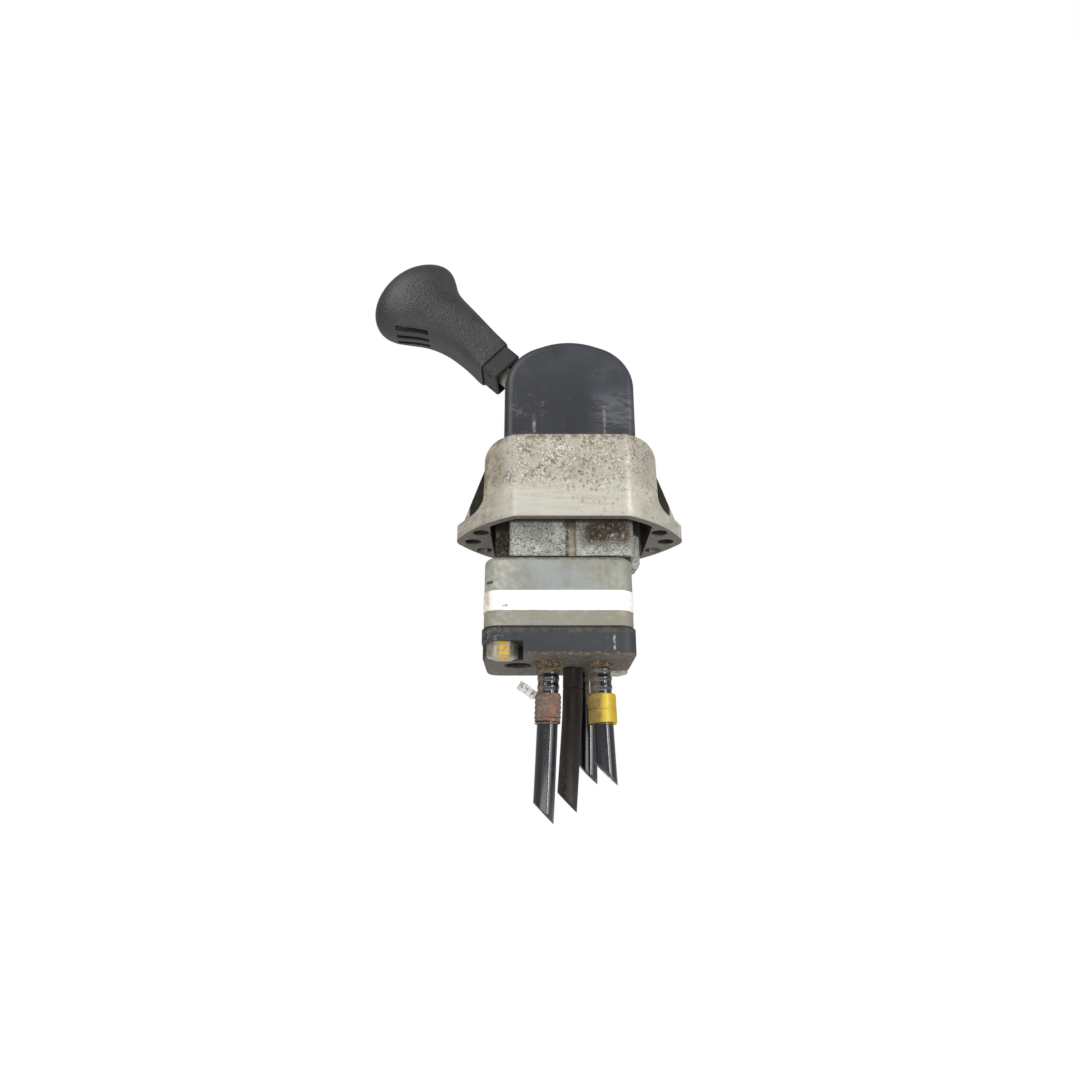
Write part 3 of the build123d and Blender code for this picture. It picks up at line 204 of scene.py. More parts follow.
def scratches_group():
    """Thin broken lines along the stretched direction of the vector."""
    tree, given, result = new_group(
        "scratches",
        [("Vector", "Vector", None), ("Scale", "Float", 50), ("Width", "Float", 0.02)],
        [("Mask", "Float")],
    )
    lines = place(
        tree, "ShaderNodeTexNoise", {"Vector": given["Vector"], "Scale": given["Scale"], "Detail": 3}
    )
    away = math_node(tree, "ABSOLUTE", math_node(tree, "SUBTRACT", lines.outputs[0], 0.5))
    thin = math_node(tree, "SUBTRACT", 1.0, ramp(tree, away, 0.0, given["Width"]))
    breaks = place(
        tree,
        "ShaderNodeTexNoise",
        {"Vector": given["Vector"], "Scale": math_node(tree, "MULTIPLY", given["Scale"], 0.45), "Detail": 2},
    )
    tree.links.new(math_node(tree, "MULTIPLY", thin, ramp(tree, breaks.outputs[0], 0.5, 0.6)), result["Mask"])
    return tree


def relief_group():
    """Height of a cast or moulded skin: Grain sets the fine part and Cells the leathery part."""
    tree, given, result = new_group(
        "relief",
        [("Vector", "Vector", None), ("Scale", "Float", 600), ("Grain", "Float", 1), ("Cells", "Float", 0)],
        [("Height", "Float")],
    )
    fine = place(
        tree,
        "ShaderNodeTexNoise",
        {"Vector": given["Vector"], "Scale": given["Scale"], "Detail": 4, "Roughness": 0.6},
    )
    cells = place(tree, "ShaderNodeTexVoronoi", {"Vector": given["Vector"], "Scale": given["Scale"]})
    total = math_node(
        tree,
        "ADD",
        math_node(tree, "MULTIPLY", fine.outputs[0], given["Grain"]),
        math_node(tree, "MULTIPLY", cells.outputs["Distance"], given["Cells"]),
    )
    tree.links.new(total, result["Height"])
    return tree


groups = {
    "patches": patches_group(),
    "band": band_group(),
    "scratches": scratches_group(),
    "relief": relief_group(),
}


def use_group(tree, name, sockets):
    """Place one of the shared groups and return its first output."""
    return place(tree, "ShaderNodeGroup", sockets, node_tree=groups[name]).outputs[0]


def cavity_shade_mask(margin):
    """Mask of the bezel's inner walls, which lie this far inside its outline; the bezel finish paints shade
    there with it.
    """

    def make(tree, position):
        parts = place(tree, "ShaderNodeSeparateXYZ", {0: position})
        across = math_node(tree, "ABSOLUTE", parts.outputs[0])
        back = math_node(tree, "ABSOLUTE", parts.outputs[1])
        beyond = math_node(tree, "SUBTRACT", across, bezel_half_front)
        slanted = math_node(tree, "MULTIPLY_ADD", beyond, bezel_end_slope)
        tree.links.new(back, slanted.node.inputs[2])
        edge = math_node(tree, "MAXIMUM", back, slanted)
        wall = bezel_half_depth - margin
        return math_node(tree, "SUBTRACT", 1.0, ramp(tree, edge, wall - mask_edge, wall + mask_edge))

    return make


def patches(scale, amount, softness=0.06, stretch=(1, 1, 1), shift=0.0):
    """Mask of irregular patches; a stretch below 1 draws them out along that axis."""

    def make(tree, position):
        moved = place(
            tree,
            "ShaderNodeMapping",
            {"Vector": position, "Scale": stretch, "Location": (shift, shift, shift)},
        )
        return use_group(
            tree,
            "patches",
            {"Vector": moved.outputs[0], "Scale": scale, "Amount": amount, "Softness": softness},
        )

    return make


def band(axis, low, high, softness=0.001):
    """Mask between two positions along an axis."""

    def make(tree, position):
        parts = place(tree, "ShaderNodeSeparateXYZ", {0: position})
        return use_group(
            tree, "band", {"Value": parts.outputs[axis], "Low": low, "High": high, "Softness": softness}
        )

    return make


def scratches(scale, width, stretch=(1, 1, 1)):
    """Mask of thin broken lines."""

    def make(tree, position):
        moved = place(tree, "ShaderNodeMapping", {"Vector": position, "Scale": stretch})
        return use_group(tree, "scratches", {"Vector": moved.outputs[0], "Scale": scale, "Width": width})

    return make


def both(*makers):
    """Mask that holds only where all the given masks hold."""

    def make(tree, position):
        masks = [maker(tree, position) for maker in makers]
        total = masks[0]
        for mask in masks[1:]:
            total = math_node(tree, "MULTIPLY", total, mask)
        return total

    return make


X, Y, Z = 0, 1, 2


def finish_of(
    name, base, roughness, layers, metallic=0.0, coat=0.0, relief=(600, 1.0, 0.0), bump=0.2, depth=0.0002
):
    """Material of a base colour under layers of (colour, roughness, strength, mask)."""
    material = bpy.data.materials.new(name)
    material.use_nodes = True
    tree = material.node_tree
    shader = tree.nodes["Principled BSDF"]
    shader.inputs["Metallic"].default_value = metallic
    shader.inputs["Coat Weight"].default_value = coat
    shader.inputs["Coat Roughness"].default_value = 0.08
    position = place(tree, "ShaderNodeTexCoord").outputs["Object"]
    tone = use_group(tree, "patches", {"Vector": position, "Scale": 55.0, "Amount": 0.5, "Softness": 0.3})
    light, dark = hue(base), tuple(0.8 * c for c in hue(base)[:3]) + (1.0,)
    colour = place(tree, "ShaderNodeMix", {0: tone, 6: light, 7: dark}, data_type="RGBA").outputs[2]
    rough = place(tree, "ShaderNodeMix", {0: tone, 2: roughness, 3: min(1.0, roughness + 0.08)}).outputs[0]
    for tint, tint_rough, strength, mask in layers:
        amount = math_node(tree, "MULTIPLY", mask(tree, position), strength)
        mixed = place(tree, "ShaderNodeMix", {0: amount, 6: colour, 7: hue(tint)}, data_type="RGBA")
        colour = mixed.outputs[2]
        rough = place(tree, "ShaderNodeMix", {0: amount, 2: rough, 3: tint_rough}).outputs[0]
    tree.links.new(colour, shader.inputs["Base Color"])
    tree.links.new(rough, shader.inputs["Roughness"])
    scale, grain, cells = relief
    height = use_group(tree, "relief", {"Vector": position, "Scale": scale, "Grain": grain, "Cells": cells})
    skin = place(tree, "ShaderNodeBump", {"Height": height, "Strength": bump, "Distance": depth})
    tree.links.new(skin.outputs[0], shader.inputs["Normal"])
    return material


# ---------------------------------------------------------------- finishes
# Bezel casting: weathering and dirt, plus painted highlights along the front facet edges and painted shade on
# the ears' underside and inner walls.
cast_bezel = finish_of(
    "weathered_casting_with_painted_light",
    "aeaba0",
    0.5,
    [
        ("948b78", 0.7, 0.4, patches(70, 0.45, 0.16)),
        ("9b8f78", 0.7, 0.55, both(band(X, -0.060, -0.031, 0.005), patches(120, 0.6, 0.14))),
        (
            "705c42", 0.85, 0.75,
            both(
                band(X, -0.060, -0.037, 0.005), band(Z, -0.001, 0.038, 0.004), patches(190, 0.6, 0.12),
            ),
        ),
        ("c2bfb4", 0.42, 0.5, both(band(Z, -0.001, 0.018, 0.005), patches(60, 0.7, 0.2, (1, 1, 9)))),
        ("8f8b83", 0.5, 0.3, both(band(Z, -0.001, 0.024, 0.005), scratches(24, 0.02, (1, 1, 30)))),
        ("958f84", 0.55, 0.7, both(band(X, 0.033, 0.060, 0.003), patches(90, 0.45, 0.15))),
        (
            "6b5a45", 0.85, 0.62,
            both(
                patches(1000, 0.46, 0.07), patches(110, 0.55, 0.12), band(Z, 0.017, 0.044, 0.005),
                band(X, -0.034, 0.026, 0.006),
            ),
        ),
        (
            "42352a", 0.9, 0.75,
            both(
                patches(760, 0.34, 0.05, shift=0.8), patches(95, 0.5, 0.1, shift=0.4),
                band(Z, 0.015, 0.044, 0.004),
            ),
        ),
        (
            "e8e4d8", 0.5, 0.7,
            both(
                patches(900, 0.33, 0.05, shift=0.3), patches(110, 0.5, 0.12),
                band(Z, 0.015, 0.044, 0.004), band(X, -0.032, 0.024, 0.006),
            ),
        ),
        (
            "9c8460", 0.8, 0.4,
            both(
                patches(520, 0.32, 0.08, shift=0.5), band(Z, 0.015, 0.042, 0.004),
                patches(80, 0.42, 0.1, shift=0.1),
            ),
        ),
        # painted highlight: light, glossy strip along the left front facet edge
        (
            "d2cec4", 0.4, 0.25,
            both(
                band(X, -0.0330, -0.0285, 0.0022), band(Y, -0.05, -0.030, 0.001),
                patches(260, 0.55, 0.16),
            ),
        ),
        # painted highlight: light, glossy strip along the right front facet edge
        (
            "dedad0", 0.35, 0.35,
            both(
                band(X, 0.0265, 0.0295, 0.0016), band(Y, -0.05, -0.030, 0.001), patches(260, 0.5, 0.16),
            ),
        ),
        ("6a5a45", 0.95, 0.75, both(band(Z, 0.0412, 0.05, 0.0012), patches(300, 0.5, 0.1))),
        # painted shade: the ears' underside darkened, with lighter patches over it
        ("514e4a", 0.7, 0.88, band(Z, -0.002, 0.0003, 0.0002)),
        ("7a746b", 0.8, 0.6, both(band(Z, -0.002, 0.0004, 0.0002), patches(260, 0.42, 0.08))),
        # painted shade: near-black on the bezel's inner walls, where the cavity lies in shadow
        ("17140f", 0.9, 0.94, both(cavity_shade_mask(0.0022), band(Z, 0.0004, 0.0380, 0.0004))),
        ("4d4234", 0.9, 0.6, both(patches(480, 0.28, 0.05), patches(60, 0.42, 0.1))),
    ],
    metallic=0.3,
    relief=(1500, 1.0, 0.2),
    bump=0.5,
)
# Neck casting: speckle, fuzz and groove dirt, plus painted shade inside the bezel, on its sides and along the
# groove's left wall.
cast_neck = finish_of(
    "speckled_casting_with_painted_shade",
    "a7aca2",
    0.6,
    [
        ("8f9186", 0.7, 0.6, patches(120, 0.5, 0.14)),
        ("c3cac6", 0.5, 0.55, both(patches(110, 0.42, 0.1, shift=0.7), band(X, -0.04, 0.04, 0.001))),
        ("5f5b50", 0.9, 0.75, both(patches(1300, 0.5, 0.09), patches(200, 0.72, 0.16))),
        ("37322a", 0.95, 0.8, both(patches(900, 0.34, 0.05, shift=0.6), patches(170, 0.62, 0.14))),
        (
            "554333", 0.95, 0.9,
            both(
                band(X, 0.006, 0.029, 0.004), band(Z, -0.010, 0.004, 0.003), patches(420, 0.72, 0.1),
                patches(120, 0.78, 0.1),
            ),
        ),
        (
            "30261d", 0.95, 0.9,
            both(
                band(X, 0.006, 0.028, 0.004), band(Z, -0.009, 0.004, 0.003),
                patches(620, 0.6, 0.06, shift=0.3), patches(140, 0.72, 0.1),
            ),
        ),
        (
            "8b7d67", 0.95, 0.8,
            both(
                band(X, -0.0013, 0.0026, 0.0004), band(Y, -0.03, -0.0245, 0.0002),
                patches(350, 0.75, 0.12),
            ),
        ),
        # painted shadow: dark strip along the groove's left wall, shaded by the left panel
        (
            "2a221b", 0.95, 0.85,
            both(
                band(X, -0.0030, -0.0013, 0.0005), band(Y, -0.03, -0.0245, 0.0002),
                patches(350, 0.7, 0.12),
            ),
        ),
        (
            "4a3c2f", 0.95, 0.75,
            both(
                band(X, -0.0040, 0.0035, 0.0010), band(Z, -0.002, 0.004, 0.002),
                patches(420, 0.62, 0.08),
            ),
        ),
        # painted shade with dark dirt: near-black brown over the neck's left side
        ("33271d", 0.95, 0.94, both(band(X, -0.05, -0.0300, 0.0005), patches(280, 0.8, 0.14))),
        ("7d6a50", 0.95, 0.6, both(band(X, -0.05, -0.0300, 0.0005), patches(600, 0.36, 0.06))),
        # painted shade: black on the neck's right side inside the bezel
        ("221d18", 0.95, 0.88, both(band(X, 0.0300, 0.05, 0.0005), band(Z, 0.0005, 0.03, 0.001))),
        # painted shade: the neck darkened where it sits inside the bezel
        ("3a322a", 0.95, 0.9, band(Z, 0.0012, 0.03, 0.0010)),
    ],
    metallic=0.2,
    relief=(1300, 1.0, 0.3),
    bump=0.5,
)
cast_body = finish_of(
    "grey_green_casting",
    "8f928a",
    0.52,
    [
        ("8b9296", 0.45, 0.7, both(band(X, -0.028, 0.010, 0.012), patches(60, 0.7, 0.2))),
        ("a59d89", 0.75, 0.7, both(patches(620, 0.4, 0.08), patches(90, 0.42, 0.12))),
        (
            "83735a", 0.8, 0.6,
            both(
                band(X, 0.010, 0.032, 0.006), patches(520, 0.42, 0.08), patches(100, 0.55, 0.12),
            ),
        ),
        ("b9b6a9", 0.6, 0.55, both(band(X, -0.045, -0.028, 0.006), patches(320, 0.5, 0.12))),
        ("77725f", 0.7, 0.5, both(band(X, -0.046, 0.032, 0.001), patches(70, 0.38, 0.12, shift=0.8))),
        ("847e6e", 0.75, 0.7, both(band(Z, -0.0525, -0.0437, 0.0004), patches(200, 0.75, 0.18, (1, 1, 3)))),
        ("5a5a56", 0.6, 0.4, scratches(45, 0.010, (1, 1, 6))),
        ("2f2e2b", 0.8, 0.9, both(band(X, -0.0410, -0.0378, 0.0005), band(Z, -0.0305, -0.0290, 0.0004))),
        ("6b5f4e", 0.9, 0.7, both(band(Z, -0.0188, -0.0160, 0.0006), patches(260, 0.5, 0.1))),
        ("3a342b", 0.9, 0.8, band(Z, -0.0525, -0.0510, 0.0002)),
    ],
    metallic=0.25,
    relief=(900, 1.0, 0.0),
    bump=0.3,
)
cover_plastic = finish_of(
    "scuffed_cover_plastic",
    "23252b",
    0.42,
    [
        ("191b21", 0.38, 0.7, patches(38, 0.5, 0.2, shift=0.4)),
        ("34373e", 0.5, 0.5, both(band(Z, 0.084, 0.110, 0.010), patches(70, 0.6, 0.18))),
        ("3a3d44", 0.5, 0.5, both(band(X, 0.010, 0.040, 0.008), patches(55, 0.5, 0.16, shift=0.7))),
        (
            "8d8e90", 0.6, 0.4,
            both(
                band(X, -0.029, -0.012, 0.005), band(Z, 0.060, 0.073, 0.005),
                scratches(260, 0.05, (1, 1, 1.6)),
            ),
        ),
        ("7d7e82", 0.6, 0.22, both(scratches(130, 0.015, (1, 1, 2.4)), patches(60, 0.42, 0.12))),
        (
            "63656a", 0.5, 0.45,
            both(
                band(X, 0.014, 0.034, 0.006), band(Z, 0.052, 0.072, 0.006),
                patches(160, 0.55, 0.1, (1, 1, 4)),
            ),
        ),
        ("63656a", 0.55, 0.22, both(scratches(150, 0.02, (5, 1, 0.6)), patches(60, 0.42, 0.12, shift=0.5))),
        (
            "a9a59b", 0.7, 0.5,
            both(
                band(X, -0.0190, -0.0176, 0.0006), band(Z, 0.048, 0.0585, 0.003),
                patches(420, 0.62, 0.1),
            ),
        ),
        (
            "a9a59b", 0.7, 0.35,
            both(
                band(X, 0.0172, 0.0182, 0.0006), band(Z, 0.048, 0.0640, 0.004), patches(420, 0.58, 0.1),
            ),
        ),
        ("9a8769", 0.95, 0.9, both(band(Z, 0.040, 0.0449, 0.0009), patches(200, 0.75, 0.1))),
        ("6a5f50", 0.9, 0.4, both(band(Z, 0.040, 0.049, 0.002), patches(420, 0.5, 0.14))),
        ("6f6c66", 0.8, 0.3, both(band(Z, 0.1030, 0.110, 0.0008), patches(420, 0.4, 0.1))),
    ],
    relief=(500, 1.0, 0.0),
    bump=0.12,
)
grip_plastic = finish_of(
    "leather_grained_plastic",
    "242427",
    0.38,
    [
        ("333235", 0.46, 0.6, patches(38, 0.5, 0.18, shift=0.2)),
        ("3b3833", 0.58, 0.5, both(band(X, -0.072, -0.035, 0.012), patches(70, 0.5, 0.16))),
        ("1b1b1d", 0.36, 0.6, patches(50, 0.42, 0.14, shift=0.6)),
        ("5f5c58", 0.6, 0.30, both(patches(900, 0.34, 0.06), patches(90, 0.42, 0.12, shift=0.9))),
        ("6a6252", 0.9, 0.40, both(band(X, -0.049, -0.038, 0.003), patches(520, 0.26, 0.06))),
    ],
    relief=(1000, 0.3, 1.0),
    bump=0.6,
    depth=0.0003,
)
collar_plastic = finish_of(
    "collar_plastic",
    "1b1b1c",
    0.5,
    [
        ("2d2b28", 0.7, 0.5, patches(110, 0.5, 0.14)),
        ("5f5646", 0.9, 0.5, both(band(Z, 0.05, 0.0985, 0.002), patches(480, 0.26, 0.06))),
    ],
    relief=(800, 1.0, 0.2),
    bump=0.2,
)
shield_plastic = finish_of(
    "slot_plastic", "1b1c1e", 0.6, [("5d5343", 0.9, 0.6, patches(240, 0.45, 0.1))], bump=0.15
)
plate_plastic = finish_of(
    "port_plate_plastic",
    "232428",
    0.5,
    [
        ("2f3035", 0.55, 0.6, patches(90, 0.5, 0.16)),
        ("4d473f", 0.9, 0.85, both(band(Z, -0.0660, -0.0640, 0.0003), patches(120, 0.85, 0.2))),
        ("786b58", 0.95, 0.6, both(band(Z, -0.0660, -0.0636, 0.0002), patches(500, 0.40, 0.08))),
        ("66676a", 0.5, 0.3, both(scratches(60, 0.008, (5, 5, 0.6)), patches(60, 0.5, 0.1))),
        (
            "b9b9b6", 0.5, 0.6,
            both(
                band(X, 0.0188, 0.0198, 0.0003), band(Z, -0.0625, -0.0560, 0.001),
                patches(500, 0.6, 0.12),
            ),
        ),
        ("77787a", 0.6, 0.45, both(band(X, -0.044, -0.031, 0.003), patches(600, 0.36, 0.05))),
        ("5d5547", 0.9, 0.4, both(band(Z, -0.0546, -0.0520, 0.0005), patches(300, 0.5, 0.12))),
    ],
    relief=(700, 1.0, 0.0),
    bump=0.15,
)
label_film = finish_of(
    "label_film",
    "efeeea",
    0.4,
    [
        ("b59f80", 0.8, 0.75, both(band(X, -0.050, -0.0392, 0.0012), patches(260, 0.55, 0.08))),
        (
            "5f5346", 0.8, 0.75,
            both(
                band(X, -0.0335, -0.0305, 0.0006), band(Z, -0.0422, -0.0408, 0.0004),
                patches(900, 0.5, 0.05),
            ),
        ),
        ("b8a68c", 0.8, 0.5, both(band(Z, -0.0441, -0.0434, 0.0003), patches(420, 0.45, 0.08))),
        ("cfc6b4", 0.7, 0.6, both(band(X, 0.0270, 0.0300, 0.0008), patches(380, 0.45, 0.1))),
    ],
    bump=0.05,
)
zinc_plate = finish_of(
    "zinc_plating",
    "a5a396",
    0.42,
    [
        ("6d6456", 0.8, 0.6, patches(260, 0.42, 0.1)),
        (
            "c9a51c",
            0.5,
            0.95,
            both(
                band(X, -0.0360, -0.0300, 0.0012), band(Y, -0.030, -0.0125, 0.001),
                band(Z, -0.068, -0.058, 0.0005), patches(380, 0.52, 0.04),
            ),
        ),
    ],
    metallic=0.6,
    bump=0.2,
)
rubber = finish_of(
    "gasket_rubber", "2a2824", 0.8, [("4d4538", 0.95, 0.7, patches(500, 0.45, 0.08))], bump=0.3
)
brass = finish_of(
    "machined_brass", "b2925a", 0.35,
    [("6a5433", 0.6, 0.6, patches(200, 0.4, 0.1))],
    metallic=1.0, bump=0.1,
)
spring_steel = finish_of(
    "spring_wire", "77777a", 0.35,
    [("4c4438", 0.7, 0.6, patches(300, 0.4, 0.08))],
    metallic=1.0, bump=0.1,
)
light_alloy = finish_of(
    "piston_alloy", "a8a9a8", 0.35,
    [("7a7a78", 0.5, 0.5, patches(160, 0.45, 0.1))],
    metallic=0.9, bump=0.1,
)
paper = finish_of(
    "torn_paper",
    "dedcd4",
    0.8,
    [("3c3a36", 0.9, 0.85, both(patches(800, 0.4, 0.04), patches(200, 0.62, 0.1)))],
    bump=0.3,
)


def pipe_finish(name, dirt_left, dirt_right):
    """Glossy pipe plastic with dried dirt between two positions across, above the sleeve."""
    return finish_of(
        name,
        "0b0e14",
        0.13,
        [
            ("131821", 0.18, 0.5, patches(60, 0.5, 0.25)),
            ("5f5443", 0.95, 0.9, both(band(Z, -0.0700, -0.060, 0.0018), patches(420, 0.5, 0.07))),
            (
                "6a5e4c", 0.95, 0.85,
                both(
                    band(Z, -0.0820, -0.060, 0.001), band(X, dirt_left, dirt_right, 0.0007),
                    patches(380, 0.66, 0.1),
                ),
            ),
            ("4d463c", 0.7, 0.3, both(patches(900, 0.26, 0.05), patches(120, 0.4, 0.12))),
        ],
        coat=0.7,
        relief=(300, 1.0, 0.0),
        bump=0.0,
    )


pipe_gloss = pipe_finish("glossy_pipe_plastic", 0.0080, 0.0122)
pipe_gloss_left = pipe_finish("glossy_pipe_plastic_left", -0.0170, -0.0140)
pipe_dusty = finish_of(
    "dusty_pipe_plastic",
    "14100f",
    0.45,
    [
        ("2b221c", 0.9, 0.6, patches(110, 0.5, 0.14, (1, 1, 0.5))),
        ("4c3f33", 0.95, 0.6, both(patches(700, 0.40, 0.07), patches(90, 0.42, 0.1))),
    ],
    bump=0.12,
)
red_tape = finish_of(
    "dusty_red_tape",
    "73645a",
    0.95,
    [
        ("8f5046", 0.85, 0.7, both(band(X, -0.0135, -0.0070, 0.0018), patches(210, 0.5, 0.12))),
        (
            "a8382f", 0.7, 0.8,
            both(
                band(X, -0.0130, -0.0085, 0.0015), patches(380, 0.34, 0.05),
                band(Z, -0.0950, -0.0860, 0.002),
            ),
        ),
        ("4f4538", 0.95, 0.7, patches(800, 0.42, 0.06)),
        ("8d7c69", 0.95, 0.6, patches(600, 0.42, 0.08, shift=0.4)),
    ],
    relief=(1500, 1.0, 0.5),
    bump=1.0,
    depth=0.0006,
)
yellow_tape = finish_of(
    "dusty_yellow_tape",
    "b89a10",
    0.42,
    [
        ("a98a12", 0.5, 0.5, patches(220, 0.45, 0.12)),
        ("7b6733", 0.85, 0.9, both(band(X, 0.000, 0.0132, 0.0016), patches(150, 0.95, 0.2))),
        ("5f5034", 0.9, 0.7, both(band(X, 0.000, 0.0135, 0.0012), patches(520, 0.46, 0.08))),
        ("d8c030", 0.4, 0.5, both(band(X, 0.0148, 0.0175, 0.0015), patches(160, 0.7, 0.2))),
    ],
    coat=0.1,
    bump=0.15,
)
dirt = finish_of(
    "matted_dirt",
    "6b5c47",
    1.0,
    [
        ("94836a", 1.0, 0.8, patches(700, 0.45, 0.05)),
        ("33291f", 1.0, 0.8, patches(900, 0.4, 0.04, shift=0.5)),
    ],
    relief=(1600, 1.0, 1.0),
    bump=1.0,
    depth=0.0008,
)
floor_paint = finish_of(
    "floor_paint", "f4f4f4", 0.9, [("f8f8f8", 0.9, 0.5, patches(3, 0.5, 0.2))], bump=0.0
)
floor_tree = floor_paint.node_tree
floor_glow = floor_tree.nodes["Principled BSDF"].inputs
floor_glow["Emission Color"].default_value = (1, 1, 1, 1)
floor_seen = place(floor_tree, "ShaderNodeLightPath").outputs["Is Camera Ray"]
floor_tree.links.new(math_node(floor_tree, "MAXIMUM", floor_seen, 0.4), floor_glow["Emission Strength"])
floor_mesh.materials.append(floor_paint)

node_finish = {
    "mounting_bezel": cast_bezel,
    "valve_neck": cast_neck,
    "valve_body": cast_body,
    "control_cover": cover_plastic,
    "port_plate": plate_plastic,
    "body_label": label_film,
    "lock_collar": collar_plastic,
    "slot_shield": shield_plastic,
    "graduating_piston": light_alloy,
    "paper_tag": paper,
    "pipe_front_left": pipe_gloss_left,
    "pipe_front_right": pipe_gloss,
    "pipe_rear": pipe_gloss,
    "pipe_middle": pipe_dusty,
    "marker_sleeve_red": red_tape,
    "marker_sleeve_yellow": yellow_tape,
    "grip": grip_plastic,
    "plunger_cap": grip_plastic,
}
slot_finish = {
    "black_rubber": rubber,
    "zinc_steel": zinc_plate,
    "spring_steel": spring_steel,
    "brass_fittings": brass,
}
for row in frame["record"]["subparts"]:
    piece = nodes[row["node"]]
    finish = node_finish.get(row["node"]) or slot_finish[row["material_slot"]]
    piece.data.materials.clear()
    piece.data.materials.append(finish)


# ---------------------------------------------------------------- piece tools
def add_piece(name, shape, finish, body, stands_for=(), levels=0):
    """Turn a finished bmesh into a piece that rides on a body."""
    mesh = bpy.data.meshes.new(name)
    bmesh.ops.recalc_face_normals(shape, faces=shape.faces)
    shape.to_mesh(mesh)
    shape.free()
    for face in mesh.polygons:
        face.use_smooth = True
    mesh.materials.append(finish)
    piece = bpy.data.objects.new(name, mesh)
    scene.collection.objects.link(piece)
    if levels:
        subdivide = piece.modifiers.new("subdivision", "SUBSURF")
        subdivide.levels = subdivide.render_levels = levels
    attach(piece, body)
    if stands_for:
        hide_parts(*stands_for)
    return piece


# ---------------------------------------------------------------- air pipes
pipe_routes = {
    "pipe_front_left": [
        (-0.0112, -0.008, -0.0545), (-0.0112, -0.008, -0.0795), (-0.0124, -0.0082, -0.1075),
        (-0.0138, -0.0086, -0.1344),
    ],
    "pipe_middle": [
        (0.0012, 0.007, -0.0545), (0.0012, 0.007, -0.079), (-0.0005, 0.0074, -0.104),
        (-0.0024, 0.008, -0.129),
    ],
    "pipe_rear": [
        (0.0084, 0.017, -0.0545), (0.0084, 0.017, -0.075), (0.0086, 0.0174, -0.0955),
        (0.0082, 0.0182, -0.1155),
    ],
    "pipe_front_right": [
        (0.014, -0.008, -0.0545), (0.014, -0.008, -0.076), (0.0146, -0.0083, -0.097),
        (0.0154, -0.009, -0.117),
    ],
}
pipe_radius = 0.005
pipe_bore = 0.0035
pipe_skin = 0.00005
barb_ridges = (-0.0686, -0.0726, -0.0768)
barb_swell, barb_spread = 0.00042, 0.0011
sleeve_top, sleeve_bottom = -0.0800, -0.0945


def smooth_line(name, points):
    """Points along the smooth spline whose control points are the route's."""
    curve = bpy.data.curves.new(name, "CURVE")
    curve.dimensions = "3D"
    curve.resolution_u = 40
    spline = curve.splines.new("NURBS")
    spline.points.add(len(points) - 1)
    for target, point in zip(spline.points, points):
        target.co = (*point, 1.0)
    spline.order_u = 3
    spline.use_endpoint_u = True
    carrier = bpy.data.objects.new(name, curve)
    line = bpy.data.meshes.new_from_object(carrier)
    path = [vertex.co.copy() for vertex in line.vertices]
    bpy.data.objects.remove(carrier)
    bpy.data.curves.remove(curve)
    bpy.data.meshes.remove(line)
    return path


def tube_along(shape, path, radius_at, segments=40):
    """Open tube of rings extruded along a path; radius_at gives the radius at a height."""
    ring = bmesh.ops.create_circle(shape, segments=segments, radius=1.0, cap_ends=False)["verts"]
    edges = list({edge for vertex in ring for edge in vertex.link_edges})
    rings = []
    for index, point in enumerate(path):
        if index:
            grown = bmesh.ops.extrude_edge_only(shape, edges=edges)["geom"]
            ring = [item for item in grown if isinstance(item, bmesh.types.BMVert)]
            edges = [item for item in grown if isinstance(item, bmesh.types.BMEdge)]
        ahead = path[min(index + 3, len(path) - 1)] - path[max(index - 3, 0)]
        turn = ahead.to_track_quat("-Z", "Y").to_matrix().to_4x4()
        rings.append((ring, Matrix.Translation(point) @ turn, radius_at(point.z)))
    for ring, setting, radius in rings:
        bmesh.ops.scale(shape, vec=(radius, radius, 1), verts=ring)
        bmesh.ops.transform(shape, matrix=setting, verts=ring)


def finer(path, step):
    """The same path with points at most a step apart."""
    dense = [path[0]]
    for end in path[1:]:
        start = dense[-1]
        gap = (end - start).length
        if gap > step / 4:
            count = math.ceil(gap / step)
            dense += [start.lerp(end, i / count) for i in range(1, count + 1)]
    return dense


def barb_bulge(height):
    """Swelling of a pipe over the three ridges of its stem."""
    swell = 0.0
    for ridge in barb_ridges:
        swell = max(swell, barb_swell * math.exp(-(((height - ridge) / barb_spread) ** 2)))
    return swell


def make_pipe(name, finish, bulges):
    """Pipe with an open bore, cut off on a slant."""
    points = pipe_routes[name]
    path = smooth_line(name + "_line", points)
    end, last_run = path[-1], (path[-1] - path[-2]).normalized()
    longer = finer(path, 0.001) + [end + last_run * 0.002 * i for i in range(1, 6)]
    shape = bmesh.new()
    tube_along(shape, longer, lambda z: pipe_radius - pipe_skin + (barb_bulge(z) if bulges else 0.0))
    tube_along(shape, longer, lambda z: pipe_bore)
    slant = Vector((-1, 0, -1)).normalized()
    everything = shape.verts[:] + shape.edges[:] + shape.faces[:]
    bmesh.ops.bisect_plane(
        shape, geom=everything, dist=1e-7, plane_co=end, plane_no=slant, clear_outer=True
    )
    for part in ("top", "cut"):
        rims = [
            edge
            for edge in shape.edges
            if edge.is_boundary and ((edge.verts[0].co.z > points[0][2] - 0.002) == (part == "top"))
        ]
        bmesh.ops.bridge_loops(shape, edges=rims)
    pipe = add_piece(name + "_tube", shape, finish, "housing", [name])
    return pipe, path


pipe_paths = {}
pipe_pieces = {}
for name in pipe_routes:
    pipe_pieces[name], pipe_paths[name] = make_pipe(name, node_finish[name], "front" in name)


